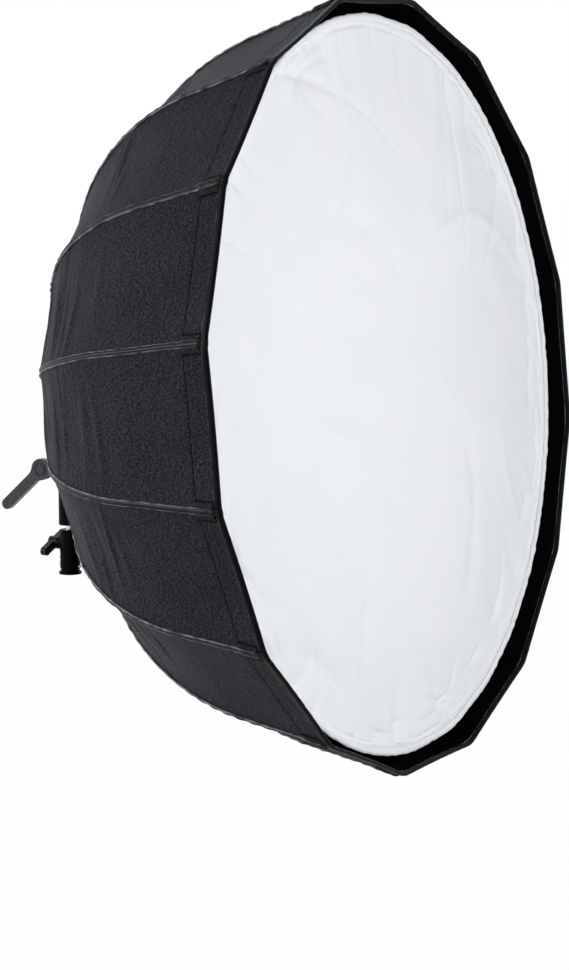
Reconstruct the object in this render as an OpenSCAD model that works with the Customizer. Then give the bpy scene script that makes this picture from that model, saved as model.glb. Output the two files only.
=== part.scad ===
// Deep sixteen-sided softbox on its tilting flash bracket.
// Millimetres. The origin is the mouth of the stand socket, +Z up, and the softbox faces -Y.

/* [Softbox shell] */
// Radius of the front rim, centre to corner
rim_r = 432; // [380:1:480]
// Half angle of the straight front of the shell, in degrees
front_angle = 15; // [12:0.5:18]
// Length of the straight front, along the slope
front_len = 120; // [90:1:150]
// Radius of the shoulder's curve
shoulder_r = 350; // [320:1:380]
// Slope of the back of the shell, in degrees
back_angle = 62; // [58:0.5:66]
// Thickness of the cloth and its lining
cloth_t = 1.2; // [0.8:0.1:1.6]
// Gap between two panels' edges under the seam tape
seam_gap = 0.6; // [0.3:0.1:0.9]
// Radius at which the panels end at the back
panel_end_r = 96; // [92:1:104]

/* [Seams and rim] */
// Width of the tape over each seam
tape_w = 6; // [4:0.5:9]
// Thickness of that tape
tape_t = 1.3; // [0.8:0.1:2]
// Width of a rod pocket at the rim
pocket_w = 22; // [16:1:28]
// Thickness of a rod pocket
pocket_t = 0.8; // [0.6:0.1:1.4]
// Distance from the rim to the facing's stitch line
facing_depth = 34; // [28:1:44]
// Thickness of the facing
facing_t = 1.2; // [0.8:0.1:1.6]
// Depth of the binding round the rim
binding_w = 8; // [6:0.5:9]
// Thickness of the binding
binding_t = 1; // [0.6:0.1:1.4]
// Thickness of the hook-and-loop tape
loop_t = 1; // [0.6:0.1:1.4]

/* [Diffusers] */
// Recess of the front diffuser behind the rim
recess = 21; // [16:1:24]
// Thickness of the diffuser cloth
diffuser_t = 1; // [0.6:0.1:1.4]
// Width of the gathered hem round the front diffuser
hem_w = 7; // [5:0.5:10]
// Radius of the inner diffuser
baffle_r = 250; // [200:5:280]
// Depth of the inner diffuser behind the rim
baffle_depth = 210; // [180:5:230]
// Number of straps that hold the inner diffuser
strap_count = 8; // [4:4:16]
// Width of a strap
strap_w = 18; // [12:1:25]

/* [Rods] */
// Radius of a rod
rod_r = 2.25; // [1.75:0.25:2.5]
// Length of the cap on a rod's front end
rod_cap_len = 14; // [10:1:18]
// Wall of that cap
rod_cap_wall = 0.45; // [0.3:0.05:0.6]

/* [Speed ring] */
// Radius of the light opening
port_r = 51; // [46:0.5:54]
// Distance across the ring's flats, halved
ring_flat_r = 70; // [68:0.5:73]
// Thickness of the ring's plate and rim
ring_wall = 4; // [3:0.5:5]
// Radial length of a rod socket's block
block_len = 9; // [8:0.5:11]
// Width of that block
block_w = 13; // [11:0.5:16]
// Length of the bayonet collar behind the plate
collar_len = 13; // [12:0.5:15]
// Wall of the collar
collar_wall = 5; // [4:0.5:6]
// Height of a bayonet lug above the collar
lug_h = 6; // [4:0.5:7]
// Arc of a bayonet lug, in degrees
lug_arc = 36; // [28:1:42]

/* [Bracket ring and latch] */
// Outer radius of the bracket's ring
bracket_r = 75; // [73:0.5:78]
// Thickness of the rear wall of that ring
bracket_back = 3.5; // [3:0.5:5]
// Angle of the latch above level on the far side, in degrees
latch_angle = 30; // [20:1:40]
// Radius of the latch pin
latch_pin_r = 2.5; // [2:0.25:3]

/* [Flash clamp] */
// Distance from the centre line to a guide rod
guide_x = 41; // [41:0.5:44]
// Radius of a guide rod
guide_r = 3.5; // [3:0.25:4]
// Depth of the clamp's bars, front to back
bar_depth = 22; // [18:1:24]
// Height of each bar
bar_h = 11; // [9:0.5:13]
// Height of the fixed jaw's pad face below the centre
fixed_gap = 35; // [32:0.5:38]
// Height of the moving jaw's pad face above the centre
moving_gap = 27; // [22:0.5:30]
// Height of the upper bar's lower face above the centre
upper_bar = 52; // [51:0.5:58]
// Thickness of a jaw pad
jaw_pad_t = 3; // [2:0.5:4]
// Radius of the clamp's spindle
spindle_r = 4; // [3.5:0.25:5]
// Radius of the clamp's knob
clamp_knob_r = 12; // [11:0.5:12]
// Height of the clamp's knob
clamp_knob_h = 20; // [16:1:26]
// Travel kept free under that knob
knob_travel = 17; // [16:1:20]

/* [Tilt joint] */
// Tilt at rest, front up, in degrees
rest_tilt = 5.3; // [0:0.1:15]
// Height of the tilt pivot above the socket's mouth
pivot_h = 133; // [126:1:145]
// Height of the softbox's centre line above the pivot
axis_h = 76; // [74:0.5:82]
// Distance from the bracket ring's back face to the pivot
pivot_back = 29; // [27:0.5:34]
// Radius of the pivot bolt
bolt_r = 4; // [3.5:0.25:5]
// Radius of the knuckle
knuckle_r = 12; // [11:0.5:13]
// Half width of the knuckle
knuckle_half = 15; // [13:0.5:18]
// Thickness of an ear of the yoke
ear_t = 6; // [5:0.5:7]
// Thickness of a friction washer
washer_t = 1; // [0.8:0.1:2]

/* [Tilt lever] */
// Length from the pivot to the middle of the lever's round end
lever_len = 66; // [55:1:80]
// Angle of the lever below level, in degrees
lever_angle = 42; // [30:1:55]
// Radius of the lever's round head
lever_head_r = 12.7; // [11:0.1:14]
// Width of the paddle
paddle_w = 13; // [10:0.5:15]
// Thickness of the paddle
paddle_t = 8; // [6:0.5:10]
// Length of the hub between the yoke and the paddle
hub_len = 29; // [24:0.5:32]
// Radius of the cap on the lever's head
lever_cap_r = 6; // [4.5:0.5:7]

/* [Stand socket] */
// Radius of the bore for the stand's stud
socket_bore_r = 8.1; // [8:0.05:8.3]
// Depth of that bore
socket_depth = 44; // [38:1:48]
// Outer radius of the barrel
barrel_r = 12.2; // [11.5:0.1:14]
// Height of the barrel
barrel_h = 53.5; // [51:0.5:56]
// Radius of the column
column_r = 12.9; // [11:0.1:14]
// Height of the column's foot above the socket's mouth
column_foot = 59.5; // [58:0.5:62]
// Radius of the steel neck
neck_r = 5; // [4:0.25:6]
// Height of the locking screw
lock_h = 36; // [32:0.5:38]
// Radius of the locking screw
lock_screw_r = 4; // [3:0.25:4.5]
// Span of the wing knob, tip to tip
wing_span = 52; // [40:1:56]
// Angle of the wings, in degrees
wing_angle = 33; // [0:1:90]

/* [Hidden] */
$fn = 64;

// Clearances
run = 0.05;       // radial, a shaft that turns or slides in its hole
seat = 0.1;       // between two pieces of one body that seat on each other
cloth_gap = 0.3;  // between cloth and what it lies against
cut = 1;          // by which a cut runs past a face

// The shell has sixteen flat panels between sixteen ribs
sides = 16;
half = 180 / sides;
flat = cos(half);

// Rib profile: a straight front, a shoulder arc and a straight back.
// In the rib's plane r is the radius and d the depth behind the rim.
p1_d = front_len * cos(front_angle);
p1_r = rim_r - front_len * sin(front_angle);
arc_d = p1_d - shoulder_r * sin(front_angle);
arc_r = p1_r - shoulder_r * cos(front_angle);
p2_d = arc_d + shoulder_r * sin(back_angle);
p2_r = arc_r + shoulder_r * cos(back_angle);
mid_angle = (front_angle + back_angle) / 2;

// Points [r, d] of the profile moved out by k
function front_point(d, k) = [rim_r - d * tan(front_angle) + k / cos(front_angle), d];
function arc_point(a, k) = [arc_r + (shoulder_r + k) * cos(a), arc_d + (shoulder_r + k) * sin(a)];
function back_point(r, k) = [r, p2_d + (p2_r - r) / tan(back_angle) + k / sin(back_angle)];

// Rods lie inside the corners of the shell
rod_gap = 0.5;
rod_inset = (cloth_t + rod_gap + rod_r) / flat;
rod_end_r = ring_flat_r + 3.5;
rod_end_d = back_point(rod_end_r, -rod_inset)[1];
rod_tip = binding_w + 3;
cap_r = rod_r + rod_cap_wall;
joint_gap = 0.02;

// Speed ring, along the depth
block_half = 8;
ring_back = rod_end_d + 4.5;
ring_front = ring_back - 2 * block_half;
collar_r = port_r + collar_wall;
collar_end = ring_back + collar_len;
lug_r = collar_r + lug_h;
lug_t = 5.4;
screw_d = ring_front + 5;
rim_in_r = ring_flat_r - ring_wall;
tube_r = rod_r + 1.8;
tube_end_r = ring_flat_r + block_len + 11;

// Bracket ring, along the depth
bayonet_gap = 0.4;
bracket_front = ring_back + 0.2;
pocket_front = collar_end - lug_t - bayonet_gap;
pocket_back = collar_end + bayonet_gap;
bracket_end = pocket_back + bracket_back;
pocket_r = lug_r + bayonet_gap + 0.2;
pivot_d = bracket_end + pivot_back;
latch_d = collar_end - lug_t / 2;
latch_tip_r = lug_r - 3.5;
latch_gap_arc = 3;
latch_boss_r = bracket_r + 3;

// Flash clamp, in the bracket's frame
bar_y = -pivot_back;
bar_foot = 1.5;
clamp_y = bar_y + bar_foot + bar_depth / 2;
jaw_low = moving_gap + jaw_pad_t;
boss_h = 3;
knob_foot = 2;
bar_end_r = guide_r + 3;
bar_mid = guide_x - 13;
blind_t = 2;
low_bar = fixed_gap + jaw_pad_t + bar_h;
low_screw = low_bar - bar_h / 2;
bar_screw_r = 2;
bar_head_r = bar_screw_r + 1.5;
bar_screw_x = guide_x - guide_r - bar_head_r - 0.7;
top_screw = upper_bar + bar_h / 2;
top_screw_x = 28;
pad_w = 2 * (guide_x - guide_r - 4);
pad_depth = bar_depth - 6;
pad_groove_w = 1.4;
pad_groove_h = 0.8;
bar_screw_len = 8;
slide_gap = run + 0.03;
spindle_floor = 4;
knob_low = upper_bar + bar_h + boss_h + knob_foot + knob_travel;

// Tilt arm, and the screws that hold it to the ring
arm_low = 2;
arm_top = axis_h - port_r - 2;
arm_screw_h = (arm_low + arm_top) / 2 + 1;
arm_screw_x = 19.5;
arm_screw_r = 2.5;
arm_screw_seat = 3;

// Tilt joint, across
ear_in = knuckle_half + washer_t;
ear_out = ear_in + ear_t;
ear_r = knuckle_r + 0.5;
base_top = pivot_h - knuckle_r - 4;
base_h = 18;
yoke_half = 6;
hub_in = ear_out + washer_t;
paddle_in = hub_in + hub_len;
paddle_out = paddle_in + paddle_t;

// Lock screw, along Y
pad_t = 2;
boss_end = barrel_r + 2.8;
groove_h = 0.7;
pad_in = socket_bore_r + 0.2;
knob_in = boss_end + 1;

// Frames
module head_place() {
    translate([0, 0, pivot_h]) rotate([-rest_tilt, 0, 0]) children();
}

// Origin at the rim's centre, +Z along the depth, +X across
module box_place() {
    head_place() translate([0, -pivot_d, axis_h]) rotate([-90, 0, 0]) children();
}

// Origin where the softbox's centre line passes over the pivot
module clamp_place() {
    head_place() translate([0, 0, axis_h]) children();
}

module each_rib() {
    for (i = [0:sides - 1]) rotate([0, 0, half + i * 2 * half]) children();
}

module each_flat() {
    for (i = [0:sides - 1]) rotate([0, 0, i * 2 * half]) children();
}

// A round bar in the rib's plane between two [r, d] points
module rib_bar(a, b, r) {
    translate([a[0], 0, a[1]])
        rotate([0, atan2(b[0] - a[0], b[1] - a[1]), 0])
            cylinder(h = norm(b - a), r = r, $fn = 32);
}

// Ring of points [r, d] turned round the softbox's centre line
module turned(points) {
    rotate_extrude($fn = 128) polygon(points);
}

function regular(r) = [for (i = [0:sides - 1]) [r * cos(half + i * 2 * half), r * sin(half + i * 2 * half)]];

// Stand socket -----------------------------------------------------------

// Corners of a shallow groove round the barrel, its lower edge at z
function barrel_groove(z) = [
    [barrel_r, z], [barrel_r - groove_h, z + 0.6],
    [barrel_r - groove_h, z + 1.6], [barrel_r, z + 2.2]
];

// Half section of the barrel: a flange, a waist, two grooves and a bevelled top
module barrel_profile() {
    flange_r = barrel_r + 1.4;
    flange_h = 2.5;
    waist_r = barrel_r - 0.8;
    bevel = 2;
    polygon(concat(
        [[socket_bore_r, 0], [flange_r, 0], [flange_r, flange_h]],
        [[waist_r, flange_h + 0.6], [waist_r, 6], [barrel_r, 7.5]],
        barrel_groove(16),
        barrel_groove(23),
        [[barrel_r, barrel_h - bevel], [barrel_r - bevel, barrel_h]],
        [[neck_r + run, barrel_h], [neck_r + run, socket_depth], [socket_bore_r, socket_depth]]
    ));
}

module stand_socket() {
    color("#1b1c1e") difference() {
        union() {
            rotate_extrude() barrel_profile();
            difference() {
                translate([0, 0, lock_h]) rotate([-90, 0, 0])
                    cylinder(h = boss_end, r = lock_screw_r + 3.6);
                cylinder(h = barrel_h, r = barrel_r - 1);
            }
        }
        translate([0, 0, lock_h]) rotate([-90, 0, 0]) cylinder(h = boss_end + 1, r = lock_screw_r + run);
        translate([0, 0, 9.5]) rotate([90, 0, 0]) cylinder(h = barrel_r + 2, r = 2 + seat);
    }
}

module set_screw() {
    color("#8b8d90") translate([0, 0, 9.5]) rotate([90, 0, 0]) {
        difference() {
            translate([0, 0, socket_bore_r + 0.2]) cylinder(h = barrel_r + 2.4 - socket_bore_r, r = 2);
            translate([0, 0, barrel_r + 1.4]) cylinder(h = 2, r = 1.1, $fn = 6);
        }
    }
}

module neck_stud() {
    color("#c9ccd0") translate([0, 0, socket_depth + 1]) cylinder(h = column_foot + 8 - socket_depth, r = neck_r);
}

// An ear, round at the bolt and narrow where it meets the base
module ear_outline() {
    foot = base_top - pivot_h - 1;
    circle(r = ear_r);
    polygon([[-ear_r, 0], [-yoke_half, foot], [yoke_half, foot], [ear_r, 0]]);
}

// The base flares from the column to the ears
module yoke_base() {
    low = base_top - base_h;
    rotate([90, 0, 0]) linear_extrude(2 * yoke_half, center = true) polygon([
        [-column_r + 2, low - 2], [column_r - 2, low - 2], [ear_out - 5, low + 0.6 * base_h],
        [ear_out, base_top], [-ear_out, base_top], [5 - ear_out, low + 0.6 * base_h]
    ]);
    translate([0, 0, low - 2]) cylinder(h = base_h - 4, r1 = column_r, r2 = yoke_half);
}

module yoke() {
    color("#1b1c1e") difference() {
        union() {
            translate([0, 0, column_foot]) cylinder(h = base_top - base_h - column_foot, r = column_r);
            yoke_base();
            for (s = [-1, 1]) {
                translate([s * (ear_in + ear_t / 2), 0, pivot_h]) rotate([90, 0, 90])
                    linear_extrude(ear_t, center = true) ear_outline();
            }
        }
        translate([0, 0, column_foot - 1]) cylinder(h = 11, r = neck_r + run);
        translate([0, 0, pivot_h]) rotate([0, 90, 0]) cylinder(h = 4 * ear_out, r = bolt_r + run, center = true);
    }
}

module tilt_bolt() {
    head_h = 5.5;
    color("#8b8d90") translate([0, 0, pivot_h]) rotate([0, 90, 0]) {
        translate([0, 0, -paddle_in - 3]) cylinder(h = paddle_in + 3 + ear_out + washer_t + 1, r = bolt_r);
        translate([0, 0, ear_out + washer_t]) cylinder(h = head_h, r = bolt_r * 1.85, $fn = 6);
    }
}

module bolt_nut_washer() {
    color("#8b8d90") translate([0, 0, pivot_h]) rotate([0, 90, 0]) difference() {
        translate([0, 0, ear_out]) cylinder(h = washer_t, r = bolt_r * 2.3);
        cylinder(h = 2 * ear_out, r = bolt_r + seat);
    }
    color("#8b8d90") translate([0, 0, pivot_h]) rotate([0, 90, 0]) difference() {
        translate([0, 0, -ear_out - washer_t + run]) cylinder(h = washer_t - run, r = bolt_r * 2.3);
        translate([0, 0, -2 * ear_out]) cylinder(h = 2 * ear_out, r = bolt_r + seat);
    }
}

module friction_washers() {
    color("#6f2f22") translate([0, 0, pivot_h]) rotate([0, 90, 0]) for (s = [-1, 1]) {
        difference() {
            translate([0, 0, s * (knuckle_half + run + (washer_t - run) / 2)])
                cylinder(h = washer_t - run, r = knuckle_r - 1, center = true);
            translate([0, 0, s * knuckle_half]) cylinder(h = 4 * washer_t, r = bolt_r + seat, center = true);
        }
    }
}

// Locking screw ----------------------------------------------------------

module lock_pad() {
    color("#b08d45") translate([0, pad_in, lock_h]) rotate([-90, 0, 0]) cylinder(h = pad_t, r = lock_screw_r);
}

module lock_screw() {
    start = pad_in + pad_t + run;
    color("#8b8d90") translate([0, start, lock_h]) rotate([-90, 0, 0])
        cylinder(h = knob_in + 8 - start, r = lock_screw_r);
}

module wing_outline() {
    tip_r = 5.2;
    tip_waist = tip_r * 0.94;
    hub_waist = (lock_screw_r + 3.5) * 0.7;
    x = wing_span / 2 - tip_r;
    bend = 4;
    for (s = [-1, 1]) {
        translate([s * x, s * bend]) circle(r = tip_r);
        polygon([
            [0, -hub_waist], [s * x, s * bend - tip_waist], [s * x, s * bend + tip_waist], [0, hub_waist]
        ]);
    }
}

module wing_knob() {
    wing_t = 7;
    color("#161718") translate([0, knob_in, lock_h]) rotate([-90, 0, 0]) difference() {
        union() {
            cylinder(h = 11, r = lock_screw_r + 3.5);
            translate([0, 0, 3]) rotate([0, 0, 180 - wing_angle]) linear_extrude(wing_t) wing_outline();
        }
        translate([0, 0, -1]) cylinder(h = 9 + seat, r = lock_screw_r + seat / 2);
    }
}

// Tilt lever -------------------------------------------------------------

module lever_outline() {
    fr = 16;
    fx = sqrt(pow(lever_head_r + fr, 2) - pow(paddle_w / 2 + fr, 2));
    share = lever_head_r / (lever_head_r + fr);
    circle(r = lever_head_r);
    translate([0, -paddle_w / 2]) square([lever_len, paddle_w]);
    translate([lever_len, 0]) circle(r = paddle_w / 2);
    for (s = [-1, 1]) {
        difference() {
            polygon([[0, 0], [fx, 0], [fx, s * paddle_w / 2], [fx * share, s * (paddle_w / 2 + fr) * share]]);
            translate([fx, s * (paddle_w / 2 + fr)]) circle(r = fr);
        }
    }
}

module lever_place() {
    translate([0, 0, pivot_h]) rotate([-lever_angle, 0, 0]) rotate([90, 0, 90]) children();
}

module tilt_lever() {
    color("#2b2d30") lever_place() difference() {
        union() {
            translate([0, 0, -paddle_out]) linear_extrude(paddle_t) lever_outline();
            translate([0, 0, -paddle_in]) cylinder(h = hub_len - run, r = lever_head_r - 2.5);
        }
        translate([0, 0, -paddle_in - 3 - seat]) cylinder(h = hub_len + 6, r = bolt_r + run);
        translate([0, 0, -paddle_out - 1]) cylinder(h = 3, r = lever_cap_r + seat);
        translate([0, 0, -paddle_out - 1]) linear_extrude(1.8) cap_groove();
    }
}

// A shallow ring sunk round the cap
module cap_groove() {
    difference() {
        circle(r = lever_cap_r + 2.2);
        circle(r = lever_cap_r + 1.2);
    }
}

module lever_cap() {
    color("#3a3d40") lever_place() {
        translate([0, 0, -paddle_out + 0.2]) cylinder(h = 1.8, r = lever_cap_r);
        translate([0, 0, -paddle_out - 0.6]) cylinder(h = 0.8, r1 = lever_cap_r - 1, r2 = lever_cap_r);
    }
}

// Bracket ----------------------------------------------------------------

module tilt_arm() {
    foot_t = 7;
    foot_half = 24;
    neck_half = knuckle_half - 6;
    neck_h = knuckle_r - 3;
    color("#1b1c1e") head_place() difference() {
        union() {
            rotate([0, 90, 0]) cylinder(h = 2 * knuckle_half, r = knuckle_r, center = true);
            translate([-foot_half, bar_y, arm_low]) cube([2 * foot_half, foot_t, arm_top - arm_low]);
            translate([-neck_half, bar_y + foot_t - 1, arm_low])
                cube([2 * neck_half, pivot_back - foot_t + 1, neck_h]);
            rotate([90, 0, 90]) linear_extrude(2 * neck_half, center = true) polygon([
                [bar_y + 1, arm_low + 1], [bar_y + 1, arm_top - 1], [bar_y + foot_t, arm_top - 1],
                [0, neck_h], [0, 4 - knuckle_r]
            ]);
        }
        rotate([0, 90, 0]) cylinder(h = 2 * (knuckle_half + cut), r = bolt_r + run, center = true);
        arm_screw_places() {
            translate([0, 0, -pivot_back]) cylinder(h = pivot_back + cut, r = arm_screw_r + seat);
            translate([0, 0, -pivot_back]) cylinder(h = pivot_back - arm_screw_seat, r = arm_screw_r + 2.5);
        }
    }
}

module arm_screw_places() {
    for (s = [-1, 1]) translate([s * arm_screw_x, bar_y, arm_screw_h]) rotate([90, 0, 0]) children();
}

module arm_screws() {
    head_h = 3;
    reach = bracket_back - 0.5;
    color("#8b8d90") head_place() arm_screw_places() {
        translate([0, 0, -arm_screw_seat - head_h]) difference() {
            cylinder(h = head_h, r = arm_screw_r + 2);
            translate([0, 0, -cut]) cylinder(h = head_h / 2 + cut, r = arm_screw_r - 0.5, $fn = 6);
        }
        translate([0, 0, -arm_screw_seat]) cylinder(h = arm_screw_seat + reach, r = arm_screw_r);
    }
}

// Arcs of the bayonet, as sectors
module sector(r0, r1, arc) {
    rotate([0, 0, -arc / 2]) rotate_extrude(angle = arc, $fn = 128) translate([r0, 0]) square([r1 - r0, lug_t]);
}

// The lugs stand clear of the latch pin on its far side
module each_lug() {
    for (i = [0:2]) rotate([0, 0, -latch_angle + latch_gap_arc + lug_arc / 2 + 120 * i]) children();
}

module bracket_ring() {
    color("#1b1c1e") box_place() difference() {
        turned([
            [collar_r + bayonet_gap, bracket_front],
            [bracket_r - 1.5, bracket_front], [bracket_r, bracket_front + 1.5],
            [bracket_r, bracket_end - 3], [bracket_r - 3, bracket_end], [port_r + 1, bracket_end],
            [port_r + 1, pocket_back], [pocket_r, pocket_back], [pocket_r, pocket_front],
            [collar_r + bayonet_gap, pocket_front]
        ]);
        each_lug() rotate([0, 0, 60]) translate([0, 0, bracket_front - 1])
            rotate([0, 0, -lug_arc / 2 - 2]) rotate_extrude(angle = lug_arc + 4, $fn = 128)
                translate([port_r, 0]) square([lug_r + bayonet_gap - port_r, pocket_front - bracket_front + 2]);
        latch_axis() translate([0, 0, port_r - 4]) cylinder(h = bracket_r, r = latch_pin_r + run);
        screw_sinks();
    }
}

// A pair of tapped holes in the ring's rear wall
module tapped_pair(x, y, r) {
    for (s = [-1, 1])
        translate([s * x, y, bracket_end - bracket_back - cut])
            cylinder(h = bracket_back + 2 * cut, r = r + seat);
}

module screw_sinks() {
    tapped_pair(arm_screw_x, axis_h - arm_screw_h, arm_screw_r);
    tapped_pair(bar_screw_x, low_screw, bar_screw_r);
    tapped_pair(top_screw_x, -top_screw, bar_screw_r);
}

module latch_axis() {
    rotate([0, 0, -latch_angle]) translate([0, 0, latch_d]) rotate([0, 90, 0]) children();
}

module latch_housing() {
    half_w = 8;
    color("#1b1c1e") box_place() difference() {
        rotate([0, 0, -latch_angle]) translate([bracket_r - 6, -half_w, bracket_front + 2.5])
            cube([latch_boss_r - bracket_r + 6, 2 * half_w, bracket_end - bracket_front - 5.5]);
        translate([0, 0, bracket_front]) cylinder(h = bracket_end, r = bracket_r + seat, $fn = 128);
        latch_axis() translate([0, 0, port_r]) cylinder(h = bracket_r, r = latch_pin_r + run);
    }
}

module ring_latch() {
    button_t = 8;
    color("#2b2d30") box_place() latch_axis() {
        translate([0, 0, latch_tip_r]) cylinder(h = latch_boss_r + 2 - latch_tip_r, r = latch_pin_r);
        translate([0, 0, latch_boss_r + 0.3]) difference() {
            translate([-5, -7, 0]) cube([10, 14, button_t]);
            for (s = [-1, 0, 1]) translate([-6, s * 4 - 0.6, button_t - 0.8]) cube([12, 1.2, 1]);
        }
    }
}

// Flash clamp ------------------------------------------------------------

// A bar's outline, with round ends about the guide rods
module bar_outline(foot) {
    front = clamp_y - bar_depth / 2 - foot;
    back = clamp_y + bar_depth / 2;
    polygon([
        [-bar_mid, front], [bar_mid, front], [guide_x, clamp_y - bar_end_r], [guide_x, clamp_y + bar_end_r],
        [bar_mid, back], [-bar_mid, back], [-guide_x, clamp_y + bar_end_r], [-guide_x, clamp_y - bar_end_r]
    ]);
    for (s = [-1, 1]) translate([s * guide_x, clamp_y]) circle(r = bar_end_r);
}

// A bar across the bracket's back, with its foot on the ring
module cross_bar(z) {
    translate([0, 0, z]) linear_extrude(bar_h) bar_outline(bar_foot);
}

module guide_holes(low, high, gap) {
    for (s = [-1, 1])
        translate([s * guide_x, clamp_y, low]) cylinder(h = high - low, r = guide_r + gap);
}

// Holes and counterbores for the screws that hold a bar to the ring
module bar_screw_holes(z, x) {
    for (s = [-1, 1]) translate([s * x, bar_y, z]) rotate([-90, 0, 0]) {
        translate([0, 0, -cut]) cylinder(h = bar_depth, r = bar_screw_r + seat);
        translate([0, 0, bar_screw_len]) cylinder(h = bar_depth, r = bar_head_r + seat);
    }
}

module lower_bar() {
    notch_half = bar_screw_x - 7;
    notch_h = bar_h - 5;
    color("#1b1c1e") clamp_place() difference() {
        cross_bar(-low_bar);
        translate([-notch_half, bar_y + bar_foot, -low_bar - cut])
            cube([2 * notch_half, bar_depth + cut, notch_h + cut]);
        guide_holes(-low_bar + blind_t, -low_bar + bar_h + cut, run);
        bar_screw_holes(-low_screw, bar_screw_x);
    }
}

module upper_bar() {
    color("#1b1c1e") clamp_place() difference() {
        union() {
            cross_bar(upper_bar);
            translate([0, clamp_y, upper_bar]) cylinder(h = bar_h + boss_h, r = spindle_r + 5);
        }
        translate([0, clamp_y, upper_bar - cut]) cylinder(h = bar_h + boss_h + 2 * cut, r = spindle_r + run);
        guide_holes(upper_bar - cut, upper_bar + bar_h - blind_t, run);
        bar_screw_holes(top_screw, top_screw_x);
    }
}

module guide_rods() {
    low = -low_bar + blind_t + seat;
    high = upper_bar + bar_h - blind_t - seat;
    color("#c9ccd0") clamp_place() for (s = [-1, 1])
        translate([s * guide_x, clamp_y, low]) cylinder(h = high - low, r = guide_r);
}

module bar_screw(z, x) {
    reach = bracket_back - 0.5;
    head_h = 3;
    for (s = [-1, 1]) translate([s * x, bar_y, z]) rotate([-90, 0, 0]) difference() {
        union() {
            translate([0, 0, -reach]) cylinder(h = bar_screw_len + reach, r = bar_screw_r);
            translate([0, 0, bar_screw_len]) cylinder(h = head_h, r = bar_head_r);
        }
        translate([0, 0, bar_screw_len + head_h / 2]) cylinder(h = head_h, r = bar_screw_r - 0.5, $fn = 6);
    }
}

module bar_screws() {
    color("#8b8d90") clamp_place() {
        bar_screw(-low_screw, bar_screw_x);
        bar_screw(top_screw, top_screw_x);
    }
}

// A rubber pad with grooves in its face, its lower face at z
module grooved_pad(z, groove_z, groove_depth) {
    rows = 9;
    difference() {
        translate([-pad_w / 2, clamp_y - pad_depth / 2, z]) cube([pad_w, pad_depth, jaw_pad_t]);
        for (i = [0:rows - 1])
            translate([(i - (rows - 1) / 2) * pad_w / rows - pad_groove_w / 2, clamp_y - bar_depth / 2, groove_z])
                cube([pad_groove_w, bar_depth, groove_depth]);
    }
}

module fixed_jaw_pad() {
    color("#141414") clamp_place()
        grooved_pad(-fixed_gap - jaw_pad_t, -fixed_gap - pad_groove_h, pad_groove_h + cut);
}

module jaw_pad() {
    color("#141414") clamp_place() grooved_pad(moving_gap, moving_gap - cut, pad_groove_h + cut);
}

module clamp_jaw() {
    jaw_h = bar_h - 1;
    color("#1b1c1e") clamp_place() difference() {
        union() {
            translate([0, 0, jaw_low]) linear_extrude(jaw_h) bar_outline(0);
            translate([0, clamp_y, jaw_low]) cylinder(h = bar_h + boss_h, r = spindle_r + 5);
        }
        guide_holes(jaw_low - cut, jaw_low + bar_h + cut, slide_gap);
        translate([0, clamp_y, jaw_low + spindle_floor]) cylinder(h = bar_h + boss_h, r = spindle_r + run);
    }
}

module clamp_spindle() {
    low = jaw_low + spindle_floor + run;
    high = knob_low + clamp_knob_h - 6;
    color("#8b8d90") clamp_place() translate([0, clamp_y, low]) cylinder(h = high - low, r = spindle_r);
}

module clamp_knob() {
    lobes = 8;
    color("#161718") clamp_place() translate([0, clamp_y, knob_low]) difference() {
        union() {
            cylinder(h = clamp_knob_h - 2, r = clamp_knob_r);
            translate([0, 0, clamp_knob_h - 2]) cylinder(h = 2, r1 = clamp_knob_r, r2 = clamp_knob_r - 2);
            translate([0, 0, -knob_foot]) cylinder(h = knob_foot, r = clamp_knob_r - 5);
        }
        for (i = [0:lobes - 1]) rotate([0, 0, i * 360 / lobes])
            translate([clamp_knob_r + 2, 0, 1]) cylinder(h = clamp_knob_h + 2, r = 3.6, $fn = 32);
        translate([0, 0, -3]) cylinder(h = clamp_knob_h - 3 + seat, r = spindle_r + seat / 2);
    }
}

// Speed ring -------------------------------------------------------------

module speed_ring() {
    color("#8f9296") box_place() difference() {
        union() {
            translate([0, 0, ring_front]) rotate([0, 0, half])
                linear_extrude(ring_back - ring_front) polygon(regular(ring_flat_r / flat));
            translate([0, 0, ring_back - 1]) cylinder(h = collar_len + 1, r = collar_r, $fn = 128);
        }
        translate([0, 0, ring_front - cut])
            cylinder(h = collar_end - ring_front + 2 * cut, r = port_r, $fn = 128);
        translate([0, 0, ring_front - cut])
            cylinder(h = ring_back - ring_front - ring_wall + cut, r = rim_in_r, $fn = 128);
        each_rib() translate([port_r + 6, 0, screw_d]) rotate([0, 90, 0]) cylinder(h = ring_flat_r, r = 2 + seat, $fn = 32);
    }
}

module bayonet_lugs() {
    color("#8f9296") box_place() each_lug() translate([0, 0, collar_end - lug_t])
        sector(collar_r, lug_r, lug_arc);
}

module socket_block() {
    difference() {
        union() {
            translate([ring_flat_r, -block_w / 2, ring_front]) cube([block_len, block_w, 2 * block_half]);
            rib_bar([rod_end_r, rod_end_d], back_point(tube_end_r, -rod_inset), tube_r);
        }
        rib_bar([rod_end_r, rod_end_d], back_point(tube_end_r + 20, -rod_inset), rod_r + run);
        translate([ring_flat_r - 1, 0, screw_d]) rotate([0, 90, 0]) cylinder(h = 6, r = 2 + seat, $fn = 32);
        translate([ring_flat_r - 20, -block_w, ring_front - 1]) cube([20, 2 * block_w, 40]);
    }
}

module rod_sockets() {
    color("#8f9296") box_place() each_rib() socket_block();
}

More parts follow.
